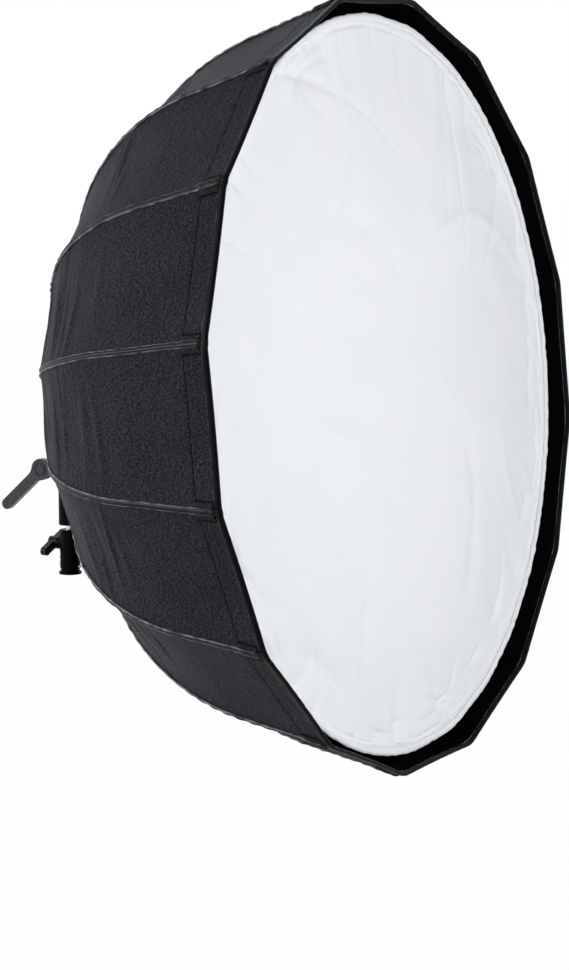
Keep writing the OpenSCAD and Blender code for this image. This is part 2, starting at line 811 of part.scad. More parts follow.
module socket_screws() {
    color("#c9ccd0") box_place() each_rib() translate([rim_in_r, 0, screw_d]) rotate([0, 90, 0]) {
        cylinder(h = ring_wall + 4.5, r = 2, $fn = 32);
        difference() {
            translate([0, 0, -2.2]) cylinder(h = 2.1, r = 3.6, $fn = 32);
            translate([0, 0, -3]) cylinder(h = 1.8, r = 1.4, $fn = 6);
        }
    }
}

// Rods -------------------------------------------------------------------

// The curved middle of a rib's profile, moved out by k
module rib_arc(k) {
    trim = joint_gap / shoulder_r * 180 / PI;
    translate([arc_r, 0, arc_d]) rotate([90, 0, 0]) rotate([0, 0, front_angle + trim])
        rotate_extrude(angle = back_angle - front_angle - 2 * trim, $fn = 256) translate([shoulder_r + k, 0]) children();
}

// Each rod is three sections end to end: straight front, curved middle, straight back
module rods() {
    tip = front_point(rod_tip * cos(front_angle), -rod_inset);
    color("#a7abb0") box_place() each_rib() {
        rib_bar(tip, arc_point(front_angle, -rod_inset), rod_r);
        rib_arc(-rod_inset) circle(r = rod_r, $fn = 32);
        rib_bar(arc_point(back_angle, -rod_inset), back_point(rod_end_r + 0.2, -rod_inset), rod_r);
    }
}

module rod_caps() {
    d0 = rod_tip * cos(front_angle);
    a = front_point(d0 - 1.4, -rod_inset);
    b = front_point(d0 + rod_cap_len, -rod_inset);
    color("#161718") box_place() each_rib() difference() {
        rib_bar(a, b, cap_r);
        rib_bar(front_point(d0 - 0.1, -rod_inset), front_point(d0 + front_len / 2, -rod_inset), rod_r + run);
    }
}

// Cloth that folds over a rib of a given slope: a shallow V across the rib, w wide and t thick
module chevron(w, t, slope) {
    drop = w / 2 * tan(half) * cos(slope);
    polygon([[seat, 0], [seat - drop, w / 2], [seat - drop + t, w / 2], [seat + t, 0], [seat - drop + t, -w / 2],
             [seat - drop, -w / 2]]);
}

// Straight run of that cloth from one profile point along a slope
module chevron_run(a, slope, len, w, t) {
    translate([a[0], 0, a[1]]) rotate([0, -slope, 0]) linear_extrude(len) chevron(w, t, slope);
}

module rod_pockets() {
    start = binding_w + 1;
    a = front_point(start * cos(front_angle), 0);
    color("#0f0f11") box_place() each_rib()
        chevron_run(a, front_angle, facing_depth - start, pocket_w, pocket_t);
}

module seam_tapes() {
    start = facing_depth + 0.5;
    a = front_point(start * cos(front_angle), 0);
    b = arc_point(back_angle, 0);
    back_len = (p2_r - panel_end_r - 4) / sin(back_angle);
    color("#131316") box_place() each_rib() {
        chevron_run(a, front_angle, front_len - start, tape_w, tape_t);
        rib_arc(0) chevron(tape_w, tape_t, back_angle);
        chevron_run(b, back_angle, back_len, tape_w, tape_t);
    }
}

// Shell ------------------------------------------------------------------

// One flat-sided panel piece: its section [r, d] drawn across the panel and trimmed at the two seams
module panel(section) {
    tip = seam_gap / 2 / sin(half);
    reach = rim_r * 1.1;
    spread = (reach - tip) * tan(half);
    intersection() {
        rotate([90, 0, 0]) linear_extrude(2 * spread, center = true) polygon([for (p = section) [p[0] * flat, p[1]]]);
        translate([0, 0, -10]) linear_extrude(p2_d + shoulder_r)
            polygon([[tip, 0], [reach, spread], [reach, -spread]]);
    }
}

// Section of a curved piece between two slopes, outside and back along the inside
arc_steps = 6;
function arc_section(a0, a1) = concat(
    [for (i = [0:arc_steps]) arc_point(a0 + (a1 - a0) * i / arc_steps, 0)],
    [for (i = [arc_steps:-1:0]) arc_point(a0 + (a1 - a0) * i / arc_steps, -cloth_t)]
);

module front_panels() {
    start = binding_t + seat;
    color("#17171a") box_place() each_flat()
        panel([front_point(start, 0), arc_point(front_angle, 0), arc_point(front_angle, -cloth_t),
               front_point(start, -cloth_t)]);
}

module shoulder_panels() {
    color("#17171a") box_place() each_flat() panel(arc_section(front_angle, mid_angle));
}

module waist_panels() {
    color("#17171a") box_place() each_flat() panel(arc_section(mid_angle, back_angle));
}

module back_panels() {
    color("#17171a") box_place() each_flat()
        panel([arc_point(back_angle, 0), back_point(panel_end_r, 0), back_point(panel_end_r, -cloth_t),
               arc_point(back_angle, -cloth_t)]);
}

// Elastic cuff that closes the shell on the speed ring
module back_cuff() {
    t = 1.4;
    edge = panel_end_r + 3;
    a = back_point(edge, cloth_gap);
    b = ring_back + 0.6;
    in_r = bracket_r + 1;
    step_r = max(ring_flat_r + block_len + 1.5, in_r + 3.5);
    color("#131316") box_place() turned([
        a, [step_r, b], [in_r, b], [in_r, b + t], [step_r + t / 2, b + t], [edge + t / 2, a[1] + t]
    ]);
}

// Rim --------------------------------------------------------------------

module rim_binding() {
    out = seat + binding_t;
    inn = cloth_t + seat + binding_t;
    color("#0c0c0e") box_place() each_flat() panel([
        front_point(0, out), front_point(binding_w, out), front_point(binding_w, seat), front_point(binding_t, seat),
        front_point(binding_t, -cloth_t - seat), front_point(binding_w, -cloth_t - seat),
        front_point(binding_w, -inn), front_point(0, -inn)
    ]);
}

// Radius of the round band that touches the panels' middles on the inside, at a depth
function lip_r(d, k) = flat * front_point(d, -cloth_t - seat)[0] - k;

module facing_band() {
    a = binding_w + 0.5;
    b = facing_depth + 2;
    color("#0c0c0e") box_place() turned([
        [lip_r(a, 0), a], [lip_r(b, 0), b], [lip_r(b, facing_t), b], [lip_r(a, facing_t), a]
    ]);
}

module loop_tape() {
    a = recess - 3;
    b = facing_depth;
    k = facing_t + 0.05;
    color("#101012") box_place() turned([
        [lip_r(a, k), a], [lip_r(b, k), b], [lip_r(b, k + loop_t), b], [lip_r(a, k + loop_t), a]
    ]);
}

hem_k = facing_t + loop_t + 0.1;

module diffuser_hem() {
    a = recess - 1;
    b = recess + 4;
    color("#e9edf2") box_place() turned([
        [lip_r(a, hem_k), a], [lip_r(b, hem_k), b], [lip_r(b, hem_k) - 2, b], [lip_r(a, hem_k) - hem_w, a + 2.4],
        [lip_r(a, hem_k) - hem_w, a]
    ]);
}

module front_diffuser() {
    r = lip_r(recess - 1, hem_k) - hem_w - seat;
    color("#f1f4f8") box_place() translate([0, 0, recess - 0.5]) cylinder(h = diffuser_t, r = r, $fn = 128);
}

// Inner diffuser ---------------------------------------------------------

module inner_diffuser() {
    color("#f4f4f2") box_place() translate([0, 0, baffle_depth]) cylinder(h = diffuser_t, r = baffle_r, $fn = 128);
}

module baffle_hem() {
    color("#e4e4e2") box_place() translate([0, 0, baffle_depth]) difference() {
        cylinder(h = diffuser_t + 1, r = baffle_r + 8, $fn = 128);
        translate([0, 0, -1]) cylinder(h = 10, r = baffle_r + seat, $fn = 128);
    }
}

// The slope of the rod where the clips hold it, by the depth of the inner diffuser
clip_angle = asin((baffle_depth - arc_d) / (shoulder_r - rod_inset));
clip_at = arc_point(clip_angle, -rod_inset);
clip_r = rod_r + run;
clip_t = 1.2;

module each_strap() {
    for (i = [0:strap_count - 1]) rotate([0, 0, half + i * 360 / strap_count]) children();
}

module baffle_straps() {
    a = baffle_r + 8 + seat;
    b = clip_at[0] - clip_r - clip_t - seat;
    color("#17171a") box_place() each_strap()
        translate([a, -strap_w / 2, baffle_depth]) cube([b - a - 3, strap_w, diffuser_t + 0.4]);
}

// A clip hugs the inner side of its rod, with a tongue for the strap
module strap_clips() {
    len = 10;
    color("#161718") box_place() each_strap() {
        difference() {
            union() {
                translate([clip_at[0], 0, clip_at[1]]) rotate([0, -clip_angle, 0])
                    cylinder(h = len, r = clip_r + clip_t, center = true, $fn = 32);
                translate([clip_at[0] - clip_r - clip_t - 3, -strap_w / 2, baffle_depth - 1])
                    cube([5, strap_w, diffuser_t + 2.4]);
            }
            translate([clip_at[0], 0, clip_at[1]]) rotate([0, -clip_angle, 0]) {
                cylinder(h = 3 * len, r = clip_r, center = true, $fn = 32);
                translate([0.4, -strap_w, -2 * len]) cube([20, 2 * strap_w, 4 * len]);
            }
        }
    }
}

stand_socket();
set_screw();
neck_stud();
yoke();
tilt_bolt();
bolt_nut_washer();
friction_washers();
lock_pad();
lock_screw();
wing_knob();
tilt_lever();
lever_cap();
tilt_arm();
arm_screws();
bracket_ring();
latch_housing();
ring_latch();
lower_bar();
upper_bar();
guide_rods();
bar_screws();
fixed_jaw_pad();
clamp_jaw();
jaw_pad();
clamp_spindle();
clamp_knob();
speed_ring();
bayonet_lugs();
rod_sockets();
socket_screws();
rods();
rod_caps();
rod_pockets();
seam_tapes();
front_panels();
shoulder_panels();
waist_panels();
back_panels();
back_cuff();
rim_binding();
facing_band();
loop_tape();
diffuser_hem();
front_diffuser();
inner_diffuser();
baffle_hem();
baffle_straps();
strap_clips();
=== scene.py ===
"""Deep sixteen-sided softbox on a tilting flash bracket: its cloth, materials and studio."""

import math

import bmesh
import bpy
import numpy as np
from mathutils import Matrix, Vector


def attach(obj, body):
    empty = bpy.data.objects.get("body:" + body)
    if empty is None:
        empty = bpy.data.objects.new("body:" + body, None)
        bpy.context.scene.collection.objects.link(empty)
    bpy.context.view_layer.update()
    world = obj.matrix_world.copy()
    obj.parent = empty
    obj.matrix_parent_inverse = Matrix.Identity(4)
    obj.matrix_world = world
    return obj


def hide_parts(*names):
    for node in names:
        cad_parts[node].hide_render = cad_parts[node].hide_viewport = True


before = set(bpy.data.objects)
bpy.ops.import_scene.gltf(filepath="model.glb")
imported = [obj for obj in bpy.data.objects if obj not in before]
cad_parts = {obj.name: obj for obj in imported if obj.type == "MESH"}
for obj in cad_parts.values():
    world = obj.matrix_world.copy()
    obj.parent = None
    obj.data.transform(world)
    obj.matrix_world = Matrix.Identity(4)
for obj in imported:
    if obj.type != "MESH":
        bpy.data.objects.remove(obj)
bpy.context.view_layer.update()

# Sizes from part.scad, in metres and radians ---------------------------------

SIDES = 16
HALF = math.pi / SIDES
FLAT = math.cos(HALF)
RIM_R = 0.432
FRONT_ANGLE = math.radians(15)
FRONT_LEN = 0.120
SHOULDER_R = 0.350
BACK_ANGLE = math.radians(62)
PANEL_END_R = 0.096
CLOTH_T = 0.0012
BINDING_W = 0.008
FACING_DEPTH = 0.034
POCKET_W = 0.022
RECESS = 0.021
BAFFLE_R = 0.250
BAFFLE_DEPTH = 0.210
STRAP_COUNT = 8
ROD_R = 0.00225
ROD_GAP = 0.0005
ROD_END_R = 0.0735
RING_PAST_ROD = 0.0045
COLLAR_LEN = 0.013
BAYONET_GAP = 0.0004
BRACKET_BACK = 0.0035
PIVOT_BACK = 0.029
PIVOT_H = 0.133
AXIS_H = 0.076
REST_TILT = math.radians(5.3)

# The cloth alone: sizes in metres, the share of a side that its gore fills, and counts of folds ----

MM = 0.001
GORE_SHARE = 0.9965
SHOULDER_FOLDS = 11
STITCH_CREASES = 7
RADIAL_FOLDS = 90
LONG_CREASES = 34
HEM_TUCKS = 26
HEM_GATHERS = 150
SLEEVE_HALF_W = 0.0036
SLEEVE_T = 0.0004
POCKET_T = 0.0006
BINDING_T = 0.0005
FACING_T = 0.0004
HOOK_TAPE_T = 0.0008
HEM_R = 0.4085
HEM_HALF_W = 0.0042
HEM_HALF_H = 0.0024
DIFFUSER_T = 0.0004
DIFFUSER_EDGE = 0.0055
CUFF_T = 0.0008
BAFFLE_T = 0.0005
BAFFLE_SLACK = 0.004
BAFFLE_WAVE = 0.0022
BAFFLE_HEM_HALF_W = 0.0042
BAFFLE_HEM_HALF_H = 0.0013

# Worked out from the sizes. A point of the shell's profile is (radius, depth) ----

ARC_LEN = SHOULDER_R * (BACK_ANGLE - FRONT_ANGLE)
P1 = (RIM_R - FRONT_LEN * math.sin(FRONT_ANGLE), FRONT_LEN * math.cos(FRONT_ANGLE))
ARC_C = (P1[0] - SHOULDER_R * math.cos(FRONT_ANGLE), P1[1] - SHOULDER_R * math.sin(FRONT_ANGLE))
P2 = (ARC_C[0] + SHOULDER_R * math.cos(BACK_ANGLE), ARC_C[1] + SHOULDER_R * math.sin(BACK_ANGLE))
RIB_LEN = FRONT_LEN + ARC_LEN + (P2[0] - PANEL_END_R) / math.sin(BACK_ANGLE)
ROD_INSET = (CLOTH_T + ROD_GAP + ROD_R) / FLAT
ROD_END_D = P2[1] + (P2[0] - ROD_END_R) / math.tan(BACK_ANGLE) - ROD_INSET / math.sin(BACK_ANGLE)
RING_BACK = ROD_END_D + RING_PAST_ROD
PIVOT_D = RING_BACK + COLLAR_LEN + BAYONET_GAP + BRACKET_BACK + PIVOT_BACK
GORE_W = 2 * RIM_R * math.sin(HALF)

HEAD = Matrix.Translation((0, 0, PIVOT_H)) @ Matrix.Rotation(-REST_TILT, 4, "X")
BOX = HEAD @ Matrix.Translation((0, -PIVOT_D, AXIS_H)) @ Matrix.Rotation(-math.pi / 2, 4, "X")


# Mesh helpers ----------------------------------------------------------------

def to_row(points):
    """Points (..., 3) of the box, whose z is the depth behind the rim, as points of the row's frame."""
    m = np.array(BOX)
    return points @ m[:3, :3].T + m[:3, 3]


def grid_faces(rows, cols, close_rows=False, close_cols=False):
    """Quads over a grid of points, closed into a ring along its rows or its columns where asked."""
    i = np.arange(rows if close_rows else rows - 1)
    j = np.arange(cols if close_cols else cols - 1)
    i, j = np.meshgrid(i, j, indexing="ij")
    a = i * cols + j
    b = i * cols + (j + 1) % cols
    c = ((i + 1) % rows) * cols + (j + 1) % cols
    d = ((i + 1) % rows) * cols + j
    return np.stack([a, b, c, d], -1).reshape(-1, 4)


def add_mesh(name, points, faces, materials, cut=None):
    """A mesh object from points of the box; cut is each point's place on the flat cloth, in metres."""
    mesh = bpy.data.meshes.new(name)
    placed = to_row(np.asarray(points, float).reshape(-1, 3))
    mesh.from_pydata(placed.tolist(), [], [list(f) for f in faces])
    mesh.polygons.foreach_set("use_smooth", [True] * len(mesh.polygons))
    if cut is not None:
        flat = np.zeros((len(mesh.vertices), 3), np.float32)
        flat[:, :2] = np.asarray(cut, float).reshape(-1, 2)
        mesh.attributes.new("cut", "FLOAT_VECTOR", "POINT").data.foreach_set("vector", flat.ravel())
    for m in materials if isinstance(materials, (list, tuple)) else [materials]:
        mesh.materials.append(m)
    mesh.update()
    obj = bpy.data.objects.new(name, mesh)
    bpy.context.scene.collection.objects.link(obj)
    return obj


def add_disc(name, x, y, depth, middle, material):
    """A round sheet through rings of points, the inner ring first, closed at its middle."""
    rings, count = x.shape
    points = np.stack([x, y, depth], -1).reshape(-1, 3)
    points = np.vstack([points, [0, 0, middle]])
    centre = rings * count
    faces = grid_faces(rings, count, close_cols=True).tolist()
    faces += [[centre, (j + 1) % count, j] for j in range(count)]
    return add_mesh(name, points, faces, material, points[:, :2])


def thicken(obj, thickness, offset=-1.0, inner_slot=0):
    """Gives a sheet its thickness, with another material inside where inner_slot says so."""
    m = obj.modifiers.new("cloth thickness", "SOLIDIFY")
    m.thickness = thickness
    m.offset = offset
    m.use_even_offset = False
    m.material_offset = inner_slot


def smooth_noise(rng, x, count, low, high):
    """A sum of waves in x of random phase, about -1 to 1, each of a frequency between low and high."""
    total = np.zeros_like(x, float)
    for _ in range(count):
        total += rng.uniform(0.4, 1.0) * np.sin(rng.uniform(low, high) * x + rng.uniform(0, 2 * math.pi))
    return total / (0.7 * count) ** 0.5 / 1.4


def bell(x):
    return np.exp(-x * x)


def smooth_step(x):
    """0 below 0 and 1 above 1, with a soft rise between."""
    t = np.clip(x, 0, 1)
    return t * t * (3 - 2 * t)


def wrapped(angle):
    """An angle brought between -pi and pi."""
    return np.angle(np.exp(1j * angle))


def all_round(count):
    """Angles of that many points all round the box's axis."""
    return np.linspace(0, 2 * math.pi, count, endpoint=False)


def from_middle(theta):
    """The angle from the middle of the gore that holds theta."""
    return np.mod(theta + HALF, 2 * HALF) - HALF


# Materials -------------------------------------------------------------------

class Shader:
    """A Principled material with a few helpers for procedural textures."""

    def __init__(self, name, color, rough, metallic=0.0, gloss=0.5):
        self.material = bpy.data.materials.new(name)
        self.material.use_nodes = True
        self.tree = self.material.node_tree
        self.bsdf = self.tree.nodes["Principled BSDF"]
        self.bsdf.inputs["Base Color"].default_value = (*color, 1)
        self.bsdf.inputs["Roughness"].default_value = rough
        self.bsdf.inputs["Metallic"].default_value = metallic
        self.bsdf.inputs["Specular IOR Level"].default_value = gloss
        self.normal = None

    def node(self, kind, **settings):
        n = self.tree.nodes.new(kind)
        for key, value in settings.items():
            setattr(n, key, value)
        return n

    def link(self, a, b):
        self.tree.links.new(a, b)

    def cut(self):
        """The place on the flat cloth."""
        return self.node("ShaderNodeAttribute", attribute_name="cut").outputs["Vector"]

    def place(self):
        """The place in the object's own frame."""
        return self.node("ShaderNodeTexCoord").outputs["Object"]

    def scaled(self, vector, scale):
        n = self.node("ShaderNodeMapping")
        n.inputs["Scale"].default_value = scale
        self.link(vector, n.inputs["Vector"])
        return n.outputs["Vector"]

    def noise(self, vector, scale, detail=2.0, rough=0.5, distortion=0.0):
        n = self.node("ShaderNodeTexNoise")
        n.inputs["Scale"].default_value = scale
        n.inputs["Detail"].default_value = detail
        n.inputs["Roughness"].default_value = rough
        n.inputs["Distortion"].default_value = distortion
        self.link(vector, n.inputs["Vector"])
        return n.outputs["Fac"]

    def cells(self, vector, scale):
        n = self.node("ShaderNodeTexVoronoi")
        n.inputs["Scale"].default_value = scale
        self.link(vector, n.inputs["Vector"])
        return n.outputs["Distance"]

    def waves(self, vector, scale, direction, distortion=0.0):
        n = self.node("ShaderNodeTexWave", bands_direction=direction)
        n.inputs["Scale"].default_value = scale
        n.inputs["Distortion"].default_value = distortion
        self.link(vector, n.inputs["Vector"])
        return n.outputs["Fac"]

    def ribs(self, vector, pitch, direction, distortion=0.0):
        """Waves that lie about two pitches apart, the pitch in metres."""
        return self.waves(vector, 1 / (2 * math.pi * pitch), direction, distortion)

    def math(self, operation, a, b=0):
        """One number from two, each a socket or a plain number."""
        n = self.node("ShaderNodeMath", operation=operation)
        for socket, value in zip(n.inputs, (a, b)):
            if isinstance(value, (int, float)):
                socket.default_value = value
            else:
                self.link(value, socket)
        return n.outputs[0]

    def part(self, vector, axis):
        """One coordinate of a place."""
        n = self.node("ShaderNodeSeparateXYZ")
        self.link(vector, n.inputs[0])
        return n.outputs[axis]

    def ramp(self, fac, low, high, at=(0.3, 0.7)):
        """A number that goes from low to high while fac goes through the span at."""
        n = self.node("ShaderNodeMapRange", data_type="FLOAT")
        n.inputs["From Min"].default_value, n.inputs["From Max"].default_value = at
        n.inputs["To Min"].default_value, n.inputs["To Max"].default_value = low, high
        self.link(fac, n.inputs["Value"])
        return n.outputs["Result"]

    def tint(self, fac, low, high):
        """The base colour between two colours by fac."""
        n = self.node("ShaderNodeMix", data_type="RGBA")
        n.inputs["A"].default_value = (*low, 1)
        n.inputs["B"].default_value = (*high, 1)
        self.link(fac, n.inputs["Factor"])
        self.link(n.outputs["Result"], self.bsdf.inputs["Base Color"])

    def rough(self, value):
        self.link(value, self.bsdf.inputs["Roughness"])

    def bump(self, height, distance, strength=1.0):
        """Adds a bump of that height in metres on top of the earlier ones."""
        n = self.node("ShaderNodeBump")
        n.inputs["Distance"].default_value = distance
        n.inputs["Strength"].default_value = strength
        self.link(height, n.inputs["Height"])
        if self.normal:
            self.link(self.normal, n.inputs["Normal"])
        self.normal = n.outputs["Normal"]
        self.link(self.normal, self.bsdf.inputs["Normal"])

    def mix_surface(self, share, other):
        """Mixes another surface over the Principled one by a share, a socket or a plain number."""
        mix = self.node("ShaderNodeMixShader")
        if isinstance(share, float):
            mix.inputs["Fac"].default_value = share
        else:
            self.link(share, mix.inputs["Fac"])
        self.link(self.bsdf.outputs["BSDF"], mix.inputs[1])
        self.link(other, mix.inputs[2])
        self.link(mix.outputs["Shader"], self.tree.nodes["Material Output"].inputs["Surface"])


def weave(shader, vector, pitch):
    """Height of a plain weave of that pitch in metres."""
    return shader.math("MAXIMUM", shader.ribs(vector, pitch, "X"), shader.ribs(vector, pitch, "Y"))


def black_cloth(name, axis, line, width):
    """Coated black nylon with a pebbled grain whose colour specks are partly painted glints and shade, and
    painted shade along the sewn line that far out along the axis.
    """
    s = Shader(name, (0.012, 0.012, 0.014), 0.55, gloss=0.018)
    s.bsdf.inputs["Specular Tint"].default_value = (0.75, 0.88, 1, 1)
    flat = s.cut()
    grain = s.noise(s.scaled(flat, (1, 0.7, 1)), 520, detail=2.0, rough=0.55, distortion=0.8)
    crinkle = s.cells(s.scaled(flat, (1.0, 0.5, 1)), 340)
    cloudy = s.noise(flat, 9, detail=3.0, rough=0.6)
    # The specks are partly the cloth's own mottle and partly painted glints and painted shade of the
    # pebbled grain.
    speck = s.math("ADD", s.math("MULTIPLY", grain, 0.8), s.math("MULTIPLY", cloudy, 0.2))
    # Painted shade: the colour goes dark along the sewn line, on top of the groove that the mesh sinks
    # there.
    off_line = s.math("SUBTRACT", s.math("ABSOLUTE", s.part(flat, axis)), line)
    clear = s.ramp(s.math("ABSOLUTE", off_line), 0.0, 1.0, (width / 4, width))
    shade = s.math("MULTIPLY", s.ramp(speck, 0.15, 1.0, (0.38, 0.64)), clear)
    s.tint(shade, (0.0025, 0.0025, 0.003), (0.058, 0.0565, 0.067))
    s.rough(s.ramp(grain, 0.36, 0.62))
    s.bump(grain, 0.0013, 1.0)
    s.bump(crinkle, 0.0015, 0.9)
    s.bump(weave(s, flat, 0.0009), 0.0001, 0.4)
    return s.material


def silver_lining():
    """Silver-coated lining of the shell."""
    s = Shader("silver lining", (0.62, 0.63, 0.65), 0.36, 0.7)
    flat = s.cut()
    s.tint(s.ramp(s.noise(flat, 30, 3.0), 0.0, 1.0), (0.56, 0.57, 0.59), (0.68, 0.69, 0.71))
    s.rough(s.ramp(s.noise(flat, 160, 2.0), 0.3, 0.46))
    s.bump(s.cells(flat, 350), 0.0004, 0.3)
    s.bump(weave(s, flat, 0.0008), 0.0001, 0.3)
    return s.material


def tape_cloth(name, gloss, low, high, edge=None):
    """Black ribbon with fine cross ribs, paler past the edge given as a length across it by a painted
    highlight.
    """
    s = Shader(name, high, 0.4, gloss=gloss)
    flat = s.cut()
    shade = s.ramp(s.noise(flat, 60, 3.0), 0.0, 1.0)
    if edge:
        # Painted highlight: past the edge the ribbon's outer ridge is coloured paler.
        past = s.ramp(s.part(flat, "Y"), 0.08, 1.0, (edge - 0.0003, edge + 0.0003))
        shade = s.math("MULTIPLY", shade, past)
    s.tint(shade, low, high)
    s.rough(s.ramp(s.noise(flat, 300, 2.0), 0.3, 0.48))
    s.bump(s.ribs(flat, 0.0008, "Y", 0.6), 0.0002, 0.5)
    return s.material


def seam_tape():
    """The tape over a rod, dark between two cords along its edges that carry a painted highlight, patchy
    along them and fainter over the pocket.
    """
    s = Shader("corded seam tape", (0.004, 0.004, 0.005), 0.4, gloss=0.12)
    flat = s.cut()
    # Painted highlight: the cords are coloured light grey, patchy along their length and fainter over the
    # pocket.
    cord = s.ramp(s.math("ABSOLUTE", s.part(flat, "X")), 0.0, 1.0, (0.0023, 0.0029))
    highlight_patches = s.ramp(s.noise(flat, 45, detail=3.0, rough=0.6), 0.12, 1.0, (0.38, 0.62))
    plain = s.ramp(s.part(flat, "Y"), 0.25, 1.0, (FACING_DEPTH - 0.002, FACING_DEPTH + 0.004))
    painted_cord_highlight = s.math("MULTIPLY", s.math("MULTIPLY", cord, highlight_patches), plain)
    # The pale colour here is the painted highlight of the cords.
    s.tint(painted_cord_highlight, (0.003, 0.003, 0.0037), (0.3, 0.305, 0.33))
    s.bump(s.ribs(flat, 0.0008, "Y", 0.6), 0.0002, 0.5)
    return s.material


def lip_cloth():
    """Loop pile inside the lip, which takes nearly all the light."""
    s = Shader("black loop pile", (0.0016, 0.0016, 0.0019), 0.95, gloss=0.0)
    pile = s.noise(s.place(), 900, detail=3.0, rough=0.7)
    s.tint(s.ramp(pile, 0.0, 1.0), (0.0006, 0.0006, 0.0008), (0.0028, 0.0028, 0.0034))
    s.bump(pile, 0.0006, 0.7)
    return s.material


def white_cloth(name, translucent):
    """Thin white diffusion cloth that lets that share of the light through."""
    s = Shader(name, (0.86, 0.872, 0.9), 0.85, gloss=0.1)
    place = s.place()
    s.tint(s.ramp(s.noise(place, 9, 2.0), 0.0, 1.0), (0.845, 0.86, 0.89), (0.868, 0.88, 0.905))
    s.bump(s.noise(place, 600, 2.0), 0.0002, 0.25)
    s.bump(s.noise(place, 40, detail=3.0, rough=0.5), 0.0008, 0.25)
    through = s.node("ShaderNodeBsdfTranslucent")
    through.inputs["Color"].default_value = (0.8, 0.82, 0.85, 1)
    s.mix_surface(translucent, through.outputs["BSDF"])
    return s.material


def casting():
    """Black powder-coated aluminium casting."""
    s = Shader("black powder coat", (0.006, 0.006, 0.007), 0.45, gloss=0.03)
    place = s.place()
    s.tint(s.ramp(s.noise(place, 55, 4.0), 0.0, 1.0), (0.002, 0.002, 0.0025), (0.0055, 0.0055, 0.0063))
    s.rough(s.ramp(s.noise(place, 240, 3.0), 0.24, 0.4))
    s.bump(s.noise(place, 1800, 2.0), 0.00015, 0.5)
    return s.material


def brushed(name, color, rough, scale=(1, 1, 1)):
    """Machined metal with fine tool marks."""
    s = Shader(name, color, rough, 1.0)
    place = s.place()
    marks = s.noise(s.scaled(place, scale), 900, detail=2.0, rough=0.6)
    cloudy = s.noise(place, 45, 3.0)
    s.tint(s.ramp(cloudy, 0.0, 1.0), tuple(c * 0.86 for c in color), tuple(min(1, c * 1.08) for c in color))
    s.rough(s.ramp(marks, rough - 0.07, rough + 0.1))
    s.bump(marks, 0.00006, 0.4)
    return s.material


def plastic(name, low, high, rough, gloss=0.3):
    """Moulded plastic with a fine spark texture."""
    s = Shader(name, high, rough, gloss=gloss)
    place = s.place()
    s.tint(s.ramp(s.noise(place, 70, 3.0), 0.0, 1.0), low, high)
    s.rough(s.ramp(s.noise(place, 420, 3.0), rough - 0.08, rough + 0.1))
    s.bump(s.noise(place, 2200, 2.0), 0.0001, 0.45)
    return s.material


def webbing():
    """Woven strap."""
    s = Shader("black strap webbing", (0.014, 0.014, 0.016), 0.6)
    place = s.place()
    s.tint(s.ramp(s.noise(place, 90, 2.0), 0.0, 1.0), (0.010, 0.010, 0.012), (0.02, 0.02, 0.023))
    s.bump(s.waves(place, 420, "DIAGONAL", 0.5), 0.0003, 0.6)
    return s.material


BLACK = black_cloth("black coated nylon", "Y", FACING_DEPTH, 0.0011)
POCKET = black_cloth("black pocket cloth", "X", POCKET_W / 2 - 0.0009, 0.0015)
SILVER = silver_lining()
TAPE = seam_tape()
# The binding's outer band, past 5.1 mm from the rim, carries a painted highlight.
BINDING = tape_cloth("dull black binding", 0.03, (0.002, 0.002, 0.0025), (0.06, 0.06, 0.068), 0.0051)
CUFF = tape_cloth("dull black cuff", 0.03, (0.002, 0.002, 0.0025), (0.005, 0.005, 0.006))
LIP = lip_cloth()
WHITE = white_cloth("white diffusion cloth", 0.12)
INNER_WHITE = white_cloth("inner diffusion cloth", 0.3)
CASTING = casting()
ALLOY = brushed("cast alloy ring", (0.5, 0.51, 0.52), 0.38)
STEEL = brushed("zinc plated steel", (0.62, 0.62, 0.63), 0.26, (1, 1, 6))
ROD = brushed("drawn steel rod", (0.6, 0.61, 0.62), 0.24, (0.2, 1, 1))
BRASS = brushed("brass", (0.72, 0.52, 0.2), 0.32)
LEVER = plastic("satin lever plastic", (0.022, 0.025, 0.028), (0.036, 0.04, 0.044), 0.3, 0.35)
KNOB = plastic("black knob plastic", (0.004, 0.004, 0.005), (0.009, 0.009, 0.0105), 0.3, 0.14)
RUBBER = plastic("black rubber", (0.012, 0.012, 0.012), (0.02, 0.02, 0.02), 0.72)
FRICTION = plastic("friction disc", (0.16, 0.045, 0.03), (0.22, 0.07, 0.045), 0.7)
WEBBING = webbing()

CAD_FINISH = {
    CASTING: ["stand_socket", "yoke", "tilt_arm", "bracket_ring", "latch_housing", "lower_bar", "upper_bar",
              "clamp_jaw"],
    STEEL: ["set_screw", "tilt_bolt", "bolt_nut_washer", "lock_screw", "arm_screws", "bar_screws",
            "clamp_spindle", "socket_screws", "neck_stud", "guide_rods"],
    ALLOY: ["speed_ring", "bayonet_lugs", "rod_sockets"],
    ROD: ["rods"],
    BRASS: ["lock_pad"],
    LEVER: ["tilt_lever", "lever_cap"],
    KNOB: ["wing_knob", "clamp_knob", "ring_latch", "rod_caps", "strap_clips"],
    RUBBER: ["fixed_jaw_pad", "jaw_pad"],
    FRICTION: ["friction_washers"],
    WEBBING: ["baffle_straps"],
}
for finish, names in CAD_FINISH.items():
    for name in names:
        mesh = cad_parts[name].data
        mesh.materials.clear()
        mesh.materials.append(finish)


# Shell -----------------------------------------------------------------------

